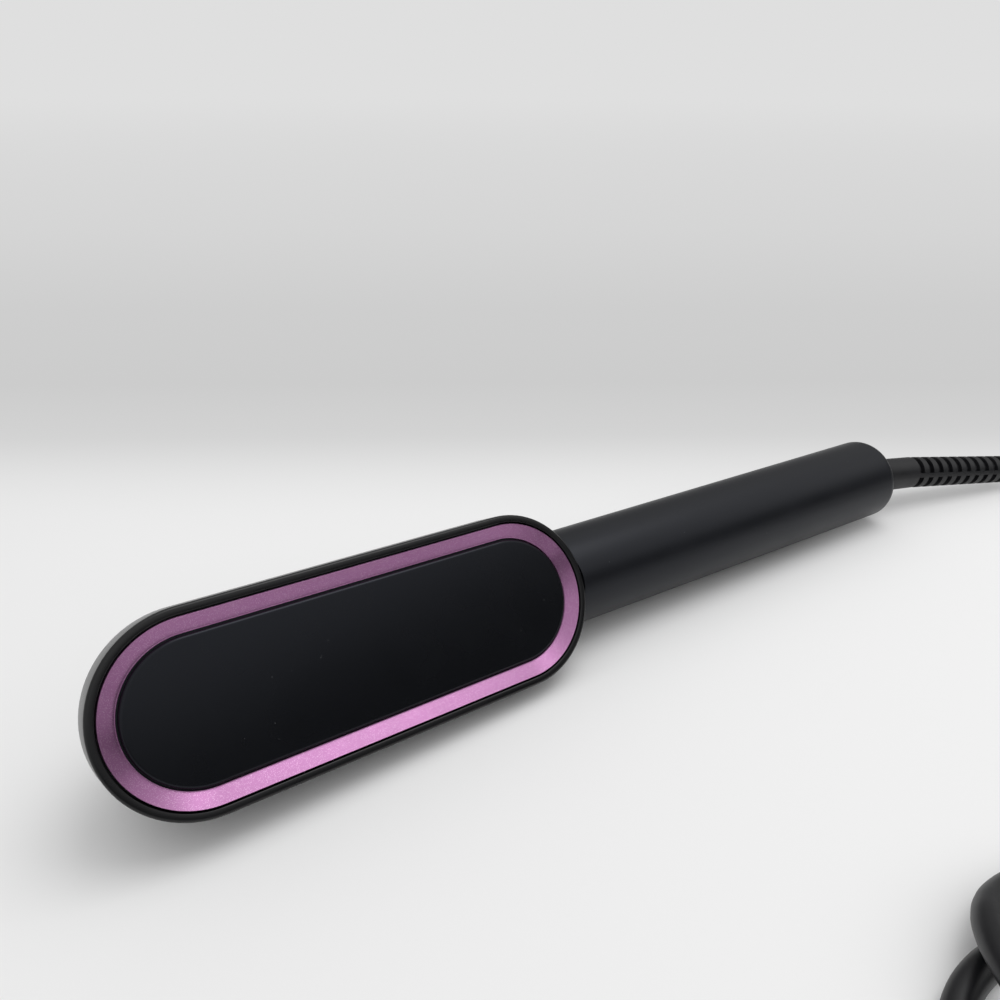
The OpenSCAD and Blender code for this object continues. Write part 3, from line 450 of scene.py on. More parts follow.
# Silicone-rubber insulation of the leads, in three colours: soft satin
RED_SILICONE = Finish(
    "Red silicone insulation", "#9c2f2f", "#b23b3b", cloud_size=2, grain=0.3, depth=0.006,
    roughness=0.5, spread=0.05,
)
WHITE_SILICONE = Finish(
    "White silicone insulation", "#dcd8cd", "#e9e6dc", cloud_size=2, grain=0.3, depth=0.006,
    roughness=0.5, spread=0.05,
)
BROWN_SILICONE = Finish(
    "Brown silicone insulation", "#633a21", "#75482c", cloud_size=2, grain=0.3, depth=0.006,
    roughness=0.5, spread=0.05,
)
# White PBT socket of the swivel: satin off-white
WHITE_PBT = Finish(
    "Moulded white PBT", "#dedbd2", "#e8e6de", cloud_size=4, grain=0.25, depth=0.006, roughness=0.5,
    spread=0.05,
)

# The finish of every CAD node, in view or not
NODE_FINISHES: dict[str, Finish] = {
    "head_shell": SATIN_ABS,
    "accent_ring": RING_LACQUER,
    "back_plate": MATT_PLATE,
    "back_cover": INNER_ABS,
    "comb_frame": MOULDED_NYLON,
    "heat_comb": CERAMIC_COAT,
    "handle_back": SOFT_TOUCH,
    "handle_front": SOFT_TOUCH,
    "handle_chassis": INNER_ABS,
    "control_panel": PANEL_GLOSS,
    "indicator_window": SMOKED_PC,
    "power_button": KEY_ABS,
    "temp_up_button": KEY_ABS,
    "temp_down_button": KEY_ABS,
    "swivel_spindle": MOULDED_NYLON,
    "strain_relief": PVC_BOOT,
    "plug_body": PVC_BOOT,
    "plug_blades": NICKEL_BRASS,
    "free_cord": PVC_SHEATH,
    "cord_coil": PVC_SHEATH,
    "plug_lead": PVC_SHEATH,
    "cord_tie": LOOP_STRAP,
    "cover_screws": ZINC_STEEL,
    "comb_screws": ZINC_STEEL,
    "clamp_screws": ZINC_STEEL,
    "neck_screws": ZINC_STEEL,
    "board_screws": ZINC_STEEL,
    "rear_screw": ZINC_STEEL,
    "heater_plate": ALUMINA,
    "heater_clamp": ROLLED_STEEL,
    "mica_sheet": MICA,
    "thermistor": BEAD_GLASS,
    "thermal_fuse": TINNED_CASE,
    "control_board": SOLDER_MASK,
    "tact_switches": EPOXY,
    "triac": EPOXY,
    "indicator_leds": LED_LENS,
    "capacitor": DIPPED_FILM,
    "terminal_block": GREEN_NYLON,
    "heater_leads": RED_SILICONE,
    "sensor_leads": WHITE_SILICONE,
    "supply_leads": BROWN_SILICONE,
    "swivel_socket": WHITE_PBT,
    "contact_springs": ROLLED_BRONZE,
    "slip_rings": TURNED_BRASS,
}


# Modelling by hand


def put_down() -> None:
    """Leaves edit mode and selects nothing."""
    if bpy.context.object and bpy.context.object.mode != "OBJECT":
        bpy.ops.object.mode_set(mode="OBJECT")
    bpy.ops.object.select_all(action="DESELECT")


def take(piece: bpy.types.Object) -> None:
    """Selects one piece alone and makes it the active one."""
    put_down()
    piece.select_set(True)
    bpy.context.view_layer.objects.active = piece


@contextmanager
def editing(piece: bpy.types.Object) -> Iterator[None]:
    """Keeps a piece in edit mode, all of it selected at the start.

    Args:
        piece: The mesh to edit.
    """
    take(piece)
    bpy.ops.object.mode_set(mode="EDIT")
    bpy.ops.mesh.select_mode(type="VERT")
    bpy.ops.mesh.select_all(action="SELECT")
    yield
    bpy.ops.object.mode_set(mode="OBJECT")


@contextmanager
def outlining(points: Sequence[Point], closed: bool) -> Iterator[bpy.types.Object]:
    """Bends a circle onto some corners and keeps it in edit mode, all of it selected.

    Args:
        points: The corners in order.
        closed: Whether the last corner joins the first.

    Yields:
        The outline, ready to be spun or extruded.
    """
    put_down()
    bpy.ops.mesh.primitive_circle_add(vertices=len(points), radius=1)
    outline = bpy.context.object
    with editing(outline):
        mesh = bmesh.from_edit_mesh(outline.data)
        mesh.verts.ensure_lookup_table()
        for vertex, point in zip(mesh.verts, points):
            vertex.co = point
        if not closed:
            ends = {mesh.verts[0], mesh.verts[-1]}
            for edge in [e for e in mesh.edges if set(e.verts) == ends]:
                mesh.edges.remove(edge)
        bmesh.update_edit_mesh(outline.data)
        bpy.ops.mesh.select_all(action="SELECT")
        yield outline


def pick_rim(piece: bpy.types.Object, height: float) -> None:
    """Selects the open edges of a mesh in edit mode that lie at one height.

    Args:
        piece: The mesh in edit mode.
        height: Their height.
    """
    bpy.ops.mesh.select_mode(type="EDGE")
    bpy.ops.mesh.select_all(action="DESELECT")
    mesh = bmesh.from_edit_mesh(piece.data)
    for edge in mesh.edges:
        if edge.is_boundary and all(abs(v.co.z - height) < NEAR for v in edge.verts):
            edge.select_set(True)
    mesh.select_flush_mode()
    bmesh.update_edit_mesh(piece.data)


def close_up(merged: bool = False) -> None:
    """Turns the faces of the mesh in edit mode outwards.

    Args:
        merged: Whether points at one place are merged first.
    """
    bpy.ops.mesh.select_all(action="SELECT")
    if merged:
        bpy.ops.mesh.remove_doubles(threshold=NEAR)
    bpy.ops.mesh.normals_make_consistent(inside=False)


def modify(piece: bpy.types.Object, kind: str, settings: dict[str, Any]) -> None:
    """Adds a modifier and applies it.

    Args:
        piece: The mesh that it shapes.
        kind: The modifier's type.
        settings: Its properties by name.
    """
    take(piece)
    made = piece.modifiers.new(kind.title(), kind)
    for name, value in settings.items():
        setattr(made, name, value)
    bpy.ops.object.modifier_apply(modifier=made.name)


def smooth(piece: bpy.types.Object, degrees: float) -> None:
    """Shades a piece smooth, apart from edges sharper than some degrees."""
    take(piece)
    bpy.ops.object.shade_smooth_by_angle(angle=math.radians(degrees))


def seat(
    piece: bpy.types.Object,
    name: str,
    frame: Matrix,
    finish: Finish,
    body: Body,
    stands_for: Sequence[str] = (),
) -> bpy.types.Object:
    """Puts a finished piece in its place and hands it to the frame.

    Args:
        piece: The mesh, in millimetres in its own frame.
        name: The piece's name.
        frame: Where that frame lies on the table.
        finish: Its material.
        body: The body that it rides on.
        stands_for: The CAD nodes that it replaces.

    Returns:
        The piece.
    """
    take(piece)
    piece.name = piece.data.name = name
    piece.matrix_world = Matrix.Scale(MM, 4) @ frame @ piece.matrix_world
    bpy.ops.object.transform_apply(location=True, rotation=True, scale=True)
    piece.data.materials.clear()
    piece.data.materials.append(finish.build())
    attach(piece, body.value)
    if stands_for:
        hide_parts(*stands_for)
    LOG.info("%s: %d faces on %s", name, len(piece.data.polygons), body.value)
    return piece


def arc(
    middle: tuple[float, float], radius: float, start: float, end: float, steps: int
) -> Section:
    """Returns points on an arc of a section, both ends among them.

    Args:
        middle: The arc's centre.
        radius: Its radius.
        start: Angle of its first point.
        end: Angle of its last point.
        steps: Number of steps between them.

    Returns:
        The points in order.
    """
    angles = [math.radians(start + (end - start) * k / steps) for k in range(steps + 1)]
    return [(middle[0] + radius * math.cos(a), middle[1] + radius * math.sin(a)) for a in angles]


# The stage


@dataclass(frozen=True)
class Side:
    """A side of the surround that has a brightness of its own.

    Attributes:
        aim: The way to its middle.
        edge: Cosines of the angles from there at which it fades in and is full.
    """

    aim: Point
    edge: Range


@dataclass
class Studio:
    """The camera, the light and the pale table.

    Attributes:
        eye: Where the camera stands, in mm.
        forward: Where it looks.
        up: Which way is up in the picture.
        lens: Focal length in mm.
        sensor: Width of the sensor in mm.
        clip: The nearest and the farthest that it sees, in metres.
        lamp: Where the lamp hangs, in metres.
        lamp_size: Its side, in metres.
        lamp_power: Its power in watts.
        walls: Brightness of the surround, from the table's level up to some height.
        ceiling: Brightness of the surround overhead.
        room: Brightness of the front side, low down, where the photographer stands.
        window: Brightness of the left side.
        wall_top: Heights, as sines, between which the walls turn into the ceiling.
        room_top: Heights between which the front side turns into the ceiling.
        left: The left side.
        front: The front side.
        table: Half width of the table, in mm.
        floor_colour: Colour of the table near the brush.
        floor_roughness: Its roughness.
        floor_specular: How much of its plain reflection it keeps.
        behind: The way over the table to the back of the picture.
        sweep: Distances that way, in metres, over which the table turns into the sweep's glowing
            painted shade.
        edge: Distances any way, in metres, over which it does the same.
        haze: Distances any way, in metres, over which the tones turn into the far colour.
        far_colour: Tone of the surround where the camera sees it.
        reach: Distance behind the brush at which half of the painted shade tones are passed, in
            metres.
        painted_shade_tones: Painted shade of the sweep, shown as glow, from the brush to the far
            end: darkest part way back.
    """

    eye: Point = (-152.22, -171.17, 162.37)
    forward: Point = (0.51316, 0.72616, -0.45757)
    up: Point = (0.26000, 0.37654, 0.88916)
    lens: float = 30.61
    sensor: float = 36
    clip: Range = (0.01, 200)
    lamp: Point = (0.2, -0.08, 0.78)
    lamp_size: float = 0.5
    lamp_power: float = 1.9
    walls: float = 0.3
    ceiling: float = 1.0
    room: float = 0.05
    window: float = 0.8
    wall_top: Range = (0.35, 0.85)
    room_top: Range = (0.26, 0.5)
    left: Side = Side((-0.95, -0.2, 0.2), (0.3, 0.8))
    front: Side = Side((0.4, -0.91, 0), (0.2, 0.6))
    table: float = 60000
    floor_colour: str = "#ebebeb"
    floor_roughness: float = 0.9
    floor_specular: float = 0.1
    behind: Point = (0.554, 0.832, 0)
    sweep: Range = (0.04, 0.17)
    edge: Range = (0.35, 0.9)
    haze: Range = (1.2, 5)
    far_colour: str = "#dfdfdf"
    reach: float = 0.4
    # Painted shade of a backdrop sweep, shown as glow on the table: paler near the brush, darkest
    # part way back
    painted_shade_tones: tuple[tuple[float, str], ...] = (
        (0.0, "#e8e8e8"),
        (0.16, "#e5e5e5"),
        (0.22, "#dddddd"),
        (0.28, "#d3d3d3"),
        (0.37, "#cccccc"),
        (0.5, "#cecece"),
        (0.65, "#d5d5d5"),
        (0.84, "#dadada"),
        (1.0, "#dfdfdf"),
    )

    def set_camera(self) -> None:
        """Stands the camera where the photograph was taken."""
        data = bpy.data.cameras.new("Camera")
        data.lens, data.sensor_width = self.lens, self.sensor
        data.clip_start, data.clip_end = self.clip
        camera = bpy.data.objects.new("Camera", data)
        bpy.context.scene.collection.objects.link(camera)
        back = -Vector(self.forward).normalized()
        right = Vector(self.up).cross(back).normalized()
        axes = Matrix((right, back.cross(right), back)).transposed().to_4x4()
        camera.matrix_world = Matrix.Translation(Vector(self.eye) * MM) @ axes
        bpy.context.scene.camera = camera

    def hang_lamp(self) -> None:
        """Hangs one broad lamp over the table, turned towards the brush."""
        data = bpy.data.lights.new("Overhead", "AREA")
        data.shape, data.size, data.energy = "SQUARE", self.lamp_size, self.lamp_power
        lamp = bpy.data.objects.new("Overhead", data)
        lamp.location = self.lamp
        lamp.rotation_euler = (-Vector(self.lamp)).to_track_quat("-Z", "Y").to_euler()
        bpy.context.scene.collection.objects.link(lamp)

    def set_surround(self) -> None:
        """Lights the scene from all round: bright overhead and on the left, dark low in front."""
        world = bpy.data.worlds.new("Surround")
        bpy.context.scene.world = world
        world.use_nodes = True
        tree = world.node_tree
        way = add_node(tree, "TexCoord").outputs["Generated"]
        height = add_node(tree, "SeparateXYZ", {0: way}).outputs[2]
        level, front = (
            add_node(
                tree,
                "MapRange",
                SMOOTH | {0: height, 1: low, 2: high, 3: start, 4: self.ceiling},
            ).outputs[0]
            for (low, high), start in ((self.wall_top, self.walls), (self.room_top, self.room))
        )
        for side, inside in ((self.left, self.window), (self.front, front)):
            facing = add_node(
                tree, "VectorMath", {"operation": "DOT_PRODUCT", 0: way, 1: side.aim}
            ).outputs["Value"]
            low, high = side.edge
            share = add_node(tree, "MapRange", SMOOTH | {0: facing, 1: low, 2: high}).outputs[0]
            level = add_node(
                tree, "Mix", {"data_type": "FLOAT", 0: share, 2: level, 3: inside}
            ).outputs[0]
        seen = add_node(tree, "LightPath").outputs["Is Camera Ray"]
        shown = linear(self.far_colour)[0]
        level = add_node(
            tree, "Mix", {"data_type": "FLOAT", 0: seen, 2: level, 3: shown}
        ).outputs[0]
        set_node(tree.nodes["Background"], {"Color": (1, 1, 1, 1), "Strength": level})

    def set_table(self) -> None:
        """Lays the table, which away from the brush turns into a sweep of glowing painted shade."""
        put_down()
        bpy.ops.mesh.primitive_plane_add(size=2 * self.table * MM, location=(0, 0, 0))
        floor = bpy.context.object
        floor.name = "Table"
        made = bpy.data.materials.new("Matt white table with glowing painted sweep shade")
        made.use_nodes = True
        tree = made.node_tree
        place = add_node(tree, "TexCoord").outputs["Object"]
        behind, away = (
            add_node(tree, "VectorMath", {0: place} | settings).outputs["Value"]
            for settings in ({"operation": "DOT_PRODUCT", 1: self.behind}, {"operation": "LENGTH"})
        )
        sweep, edge, haze = (
            add_node(tree, "MapRange", SMOOTH | {0: distance, 1: low, 2: high}).outputs[0]
            for distance, (low, high) in (
                (behind, self.sweep),
                (away, self.edge),
                (away, self.haze),
            )
        )
        share = add_node(tree, "Math", {"operation": "MAXIMUM", 0: sweep, 1: edge}).outputs[0]
        past = add_node(tree, "Math", {"operation": "MAXIMUM", 0: behind, 1: 0}).outputs[0]
        reach = add_node(tree, "Math", {"operation": "ADD", 0: past, 1: self.reach}).outputs[0]
        depth = add_node(tree, "Math", {"operation": "DIVIDE", 0: behind, 1: reach}).outputs[0]
        # Ramp of painted sweep shade, read by distance behind the brush
        painted_shade_tones = add_node(tree, "ValToRGB", {0: depth})
        ramp = painted_shade_tones.color_ramp
        while len(ramp.elements) < len(self.painted_shade_tones):
            ramp.elements.new(0.5)
        for element, (spot, colour) in zip(ramp.elements, self.painted_shade_tones):
            element.position, element.color = spot, linear(colour)
        far = linear(self.far_colour)
        tone = add_node(
            tree, "Mix", {"data_type": "RGBA", 0: haze, 6: painted_shade_tones.outputs[0], 7: far}
        ).outputs[2]
        # The painted shade glows, so no light falling on the table makes it
        glow = add_node(tree, "Emission", {0: tone}).outputs[0]
        paper = set_node(
            tree.nodes["Principled BSDF"],
            {
                "Base Color": linear(self.floor_colour),
                "Roughness": self.floor_roughness,
                "Specular IOR Level": self.floor_specular,
            },
        ).outputs[0]
        both = add_node(tree, "MixShader", {0: share, 1: paper, 2: glow}).outputs[0]
        set_node(tree.nodes["Material Output"], {"Surface": both})
        floor.data.materials.append(made)

    def build(self) -> None:
        """Sets the camera, the light and the table."""
        self.set_camera()
        self.hang_lamp()
        self.set_surround()
        self.set_table()
        LOG.info("studio set")


# The cord


@dataclass(frozen=True)
class StrainRelief:
    """The slotted sleeve between the handle and the cord, bent where the cord pulls it down.

    Attributes:
        start: Where it starts along the handle's axis.
        length: Its length along the bent middle line.
        width: Its radius at the handle.
        tip: Its radius at the far end.
        core: Radius of its inside, at the bottom of the slots.
        shut: How far its two ends close in under the core's radius.
        bend: Angle of its bend.
        bend_radius: Radius of its bend.
        aim: Turn about the handle's axis that gives the bend its direction.
        collar: Length before the first slot.
        pitch: Distance from one slot to the next.
        slot: Length of a slot.
        slots: Number of slots in a row.
        slot_steps: Faces round a slot.
        wall: Slope of a slot's walls.
        rib: Half the angle of the rib that runs between the two rows on each side.
        rib_edge: Angle over which a slot's end rises to the rib.
        rib_turn: Turn of that rib.
        round_end: Size of the rounding at the far end.
        round_step: Size of the rounding's middle corner.
    """

    start: float = 154.0
    length: float = 75
    width: float = 6.6
    tip: float = 5.6
    core: float = 4.6
    shut: float = 1.2
    bend: float = 16
    bend_radius: float = 45
    aim: float = -132
    collar: float = 23.5
    pitch: float = 4.9
    slot: float = 2.4
    slots: int = 10
    slot_steps: int = 20
    wall: float = 0.12
    rib: float = 8
    rib_edge: float = 1.5
    rib_turn: float = 62
    round_end: float = 0.8
    round_step: float = 0.25

    def frame(self) -> Matrix:
        """Returns the handle's frame, turned so that the bend goes towards -Z."""
        return HANDLE @ turn(self.aim, "X")

    def middle(self, along: float) -> tuple[Vector, Vector]:
        """Returns a place on the bent middle line, and the way it runs there.

        Args:
            along: Distance from the sleeve's start.

        Returns:
            The place and the direction, in the sleeve's frame.
        """
        bent = min(along, math.radians(self.bend) * self.bend_radius)
        a = bent / self.bend_radius
        way = Vector((math.cos(a), 0, -math.sin(a)))
        drop = self.bend_radius * (1 - math.cos(a))
        place = Vector((self.start + self.bend_radius * math.sin(a), 0, -drop))
        return place + (along - bent) * way, way

    def end(self) -> tuple[Vector, Vector]:
        """Returns where the cord comes out, and its direction, on the table."""
        place, way = self.middle(self.length)
        return self.frame() @ place, self.frame().to_3x3() @ way

    def rings(self) -> list[tuple[float, float, bool]]:
        """Returns the sleeve's rings.

        Returns:
            For each, its distance along the sleeve, its radius, and whether it lies in a slot.
        """
        made = [(0.0, self.core - self.shut, False), (0.0, self.width, False)]
        taper = (self.tip - self.width) / self.length
        for k in range(self.slots):
            low = self.collar + k * self.pitch
            high = low + self.slot
            for spot, inside in (
                (low, False),
                (low + self.wall, True),
                (high - self.wall, True),
                (high, False),
            ):
                made.append((spot, self.width + taper * spot, inside))
        return made + [
            (self.length - self.round_end, self.tip, False),
            (self.length - self.round_step, self.tip - self.round_step, False),
            (self.length, self.tip - self.round_end, False),
            (self.length, self.core - self.shut, False),
        ]

    def columns(self) -> list[tuple[float, bool]]:
        """Returns the angles of the sleeve's columns, and whether each lies on a rib."""
        made = []
        for side in (0, 180):
            middle = self.rib_turn + side
            made += [(middle + a, True) for a in (-self.rib, 0, self.rib)]
            first = middle + self.rib + self.rib_edge
            last = middle + 180 - self.rib - self.rib_edge
            steps = self.slot_steps
            made += [(first + (last - first) * k / steps, False) for k in range(steps + 1)]
        return made

    def build(self) -> bpy.types.Object:
        """Wraps a grid into the sleeve, with its slots pressed in.

        Returns:
            The sleeve.
        """
        rings, columns = self.rings(), self.columns()
        count, last = len(columns), len(rings) - 1
        side = Vector((0, 1, 0))
        put_down()
        bpy.ops.mesh.primitive_grid_add(x_subdivisions=count, y_subdivisions=last, size=2)
        sleeve = bpy.context.object
        with editing(sleeve):
            mesh = bmesh.from_edit_mesh(sleeve.data)
            for vertex in mesh.verts:
                angle, on_rib = columns[round((vertex.co.x + 1) / 2 * count) % count]
                along, radius, inside = rings[round((vertex.co.y + 1) / 2 * last)]
                if inside and not on_rib:
                    radius = self.core
                place, way = self.middle(along)
                a = math.radians(angle)
                across = side * math.cos(a) + way.cross(side) * math.sin(a)
                vertex.co = place + radius * across
            bmesh.update_edit_mesh(sleeve.data)
            close_up(merged=True)
        smooth(sleeve, 30)
        return seat(
            sleeve,
            "slotted_relief",
            self.frame(),
            PVC_BOOT,
            Body.SWIVEL,
            ["strain_relief"],
        )


@dataclass(frozen=True)
class CoilStrap:
    """The loop strap that holds the coil, bent over it from the table to the table.

    Attributes:
        width: Its width along the cord.
        thickness: Its thickness.
        clear: How far its middle stands off the cord.
        corner: Radius of its two upper bends.
        shoulder: Height at which its ends start to turn in under the coil.
        foot: How far they turn in.
        foot_rise: Height of its ends.
        worn: Size of its worn edges.
    """

    width: float = 14
    thickness: float = 0.9
    clear: float = 0.35
    corner: float = 2.6
    shoulder: float = 0.9
    foot: float = 0.7
    foot_rise: float = 0.15
    worn: float = 0.25

    def build(self, reach: float, height: float, frame: Matrix) -> bpy.types.Object:
        """Bends the strap over a coil.

        Args:
            reach: Half the width of the coil's cross section.
            height: Height of the coil.
            frame: Where the middle of that cross section stands on the table.

        Returns:
            The strap.
        """
        half, top, r = reach + self.clear, height + self.clear, self.corner
        outline: Section = (
            [(-half + self.foot, self.foot_rise), (-half, self.shoulder)]
            + arc((-half + r, top - r), r, 180, 90, 6)
            + arc((half - r, top - r), r, 90, 0, 6)
            + [(half, self.shoulder), (half - self.foot, self.foot_rise)]
        )
        with outlining([(x, -self.width / 2, z) for x, z in outline], closed=False) as strap:
            bpy.ops.mesh.extrude_region_move(
                TRANSFORM_OT_translate={"value": (0, self.width, 0)}
            )
            close_up()
        modify(strap, "SOLIDIFY", {"thickness": self.thickness, "offset": 0})
        modify(
            strap,
            "BEVEL",
            {"width": self.worn, "segments": 2, "limit_method": "ANGLE", "angle_limit": 1.0},
        )
        smooth(strap, 40)
        return seat(
            strap, "coil_strap", frame, LOOP_STRAP, Body.SWIVEL, ["cord_tie"]
        )


@dataclass
class MainsCord:
    """The cord from the strain relief to the plug: a loose run, a coil in two layers and a lead.

    Attributes:
        relief: The strain relief that it comes out of.
        strap: The strap round its coil.
        width: The cord's diameter.
        route: Points of the free run.
        lead: Points from the coil to the plug.
        coil_middle: The coil's centre.
        coil_width: Its mean diameter.
        turns: Turns in each layer.
        climb: Turns in which the cord climbs from the lower layer to the upper.
        gap: Distance between turns, past the cord's diameter.
        sides: Faces round the cord.
        points_per_turn: Points in a turn of the coil.
        steps: Steps from one point of the run or the lead to the next.
    """

    relief: StrainRelief
    strap: CoilStrap
    width: float = 6.5
    route: tuple[Point, ...] = (
        (236, -36, 4.8), (242, -48, 3.5), (241.5, -62, 3.5), (234.5, -76, 3.5),
        (222, -86.5, 3.5), (204, -97, 3.5), (185, -109, 3.5), (163, -124, 3.5),
        (140, -139, 3.5), (117, -152, 3.5), (94, -159.5, 3.5), (71, -158.2, 3.7),
        (53.2, -150.9, 3.8), (37.8, -142.2, 3.7), (23.1, -135.5, 3.5), (5.5, -132.7, 6.1),
        (-8, -136.2, 10.5), (-18.1, -146, 13.6), (-23.3, -160.3, 11.7), (-21.6, -180.6, 5.4),
        (-16.5, -203, 3.5),
    )  # fmt: skip
    lead: tuple[Point, ...] = (
        (48, -171, 9.5), (35.6, -158.9, 6), (21.8, -148.9, 4), (5.6, -142.5, 3.5),
        (-11, -138.9, 3.5), (-25.6, -141.2, 3.5), (-37, -150.2, 3.5), (-42.6, -165.5, 4.8),
        (-43, -178.5, 7.3), (-43, -185, 7.5), (-43, -191, 7.5),
    )  # fmt: skip
    coil_middle: tuple[float, float] = (30, -222)
    coil_width: float = 74
    turns: float = 2.5625
    climb: float = 0.5
    gap: float = 0.6
    sides: int = 20
    points_per_turn: int = 60
    steps: int = 8

    def smoothed(self, points: Sequence[Vector]) -> list[Vector]:
        """Lays a smooth curve through points.

        Args:
            points: The points in order.

        Returns:
            Points of the curve.
        """
        curve = []
        last = len(points) - 1
        for i in range(last):
            a, b, c, d = (points[max(0, min(last, i + k))] for k in (-1, 0, 1, 2))
            for t in (k / self.steps for k in range(self.steps)):
                bend = (2 * a - 5 * b + 4 * c - d) * t * t + (3 * b - a - 3 * c + d) * t**3
                curve.append(0.5 * (2 * b + (c - a) * t + bend))
        return curve + [points[last]]

    def coil_point(self, turned: float) -> tuple[Vector, Vector]:
        """Follows the coil inwards in its lower layer, up, and outwards in its upper layer.

        Args:
            turned: How many turns of the coil are passed.

        Returns:
            The place of the cord's middle line there, and its direction.
        """
        step = self.width + self.gap
        past = turned - self.turns
        inner = self.coil_width / 2 - self.turns * step / 2
        if past < 0:
            radius = inner - step * past
        elif past < self.climb:
            dip = math.sin(math.pi * past / self.climb)
            radius = inner - step * self.climb / math.pi * dip
        else:
            radius = inner + step * (past - self.climb)
        angle = math.pi + 2 * math.pi * turned
        rise = self.width / 2 + step * max(0.0, min(1.0, past / self.climb))
        x, y = self.coil_middle
        place = Vector((x + radius * math.cos(angle), y + radius * math.sin(angle), rise))
        return place, Vector((-math.sin(angle), math.cos(angle), 0))

    def centreline(self) -> list[Vector]:
        """Returns the points that the cord follows, in millimetres on the table."""
        start, way = self.relief.end()
        total = 2 * self.turns + self.climb
        first, first_way = self.coil_point(0)
        last, last_way = self.coil_point(total)
        run = [start, start + self.width * way, *map(Vector, self.route)]
        run += [first - self.width * first_way, first]
        count = round(total * self.points_per_turn)
        coil = [self.coil_point(total * k / count)[0] for k in range(1, count)]
        lead = [last, last + self.width * last_way, *map(Vector, self.lead)]
        return self.smoothed(run) + coil + self.smoothed(lead)

    def make_cord(self) -> tuple[bpy.types.Object, list[Vector]]:
        """Draws the cord as one open line with a round section.

        Returns:
            The cord and its points.
        """
        points = self.centreline()
        put_down()
        bpy.ops.curve.primitive_nurbs_path_add()
        cord = bpy.context.object
        cord.data.splines.clear()
        line = cord.data.splines.new("POLY")
        line.points.add(len(points) - 1)
        for spot, point in zip(line.points, points):
            spot.co = (*point, 1)
        cord.data.dimensions = "3D"
        cord.data.bevel_depth = self.width / 2
        cord.data.bevel_resolution = self.sides // 2 - 2
        cord.data.use_fill_caps = True
        cord.data.twist_mode = "MINIMUM"
        take(cord)
        bpy.ops.object.convert(target="MESH")
        smooth(cord, 60)
        stands_for = ["free_cord", "cord_coil", "plug_lead"]
        seat(cord, "mains_cord", TABLE, PVC_SHEATH, Body.SWIVEL, stands_for)
        return cord, points

    def tie_coil(self) -> bpy.types.Object:
        """Ties the strap round the side of the coil that lies farthest from the brush.

        Returns:
            The strap.
        """
        step = self.width + self.gap
        x, y = self.coil_middle
        return self.strap.build(
            self.turns * step / 2 + self.width / 2,
            step + self.width,
            Matrix.Translation((x, y - self.coil_width / 2, 0)) @ turn(90, "Z"),
        )

    def build(self, nodes: dict[str, bpy.types.Object]) -> None:
        """Builds the relief, the cord and its strap.

        Args:
            nodes: The CAD nodes by name; not used.
        """
        relief = self.relief.build()
        cord, points = self.make_cord()
        strap = self.tie_coil()


# The head


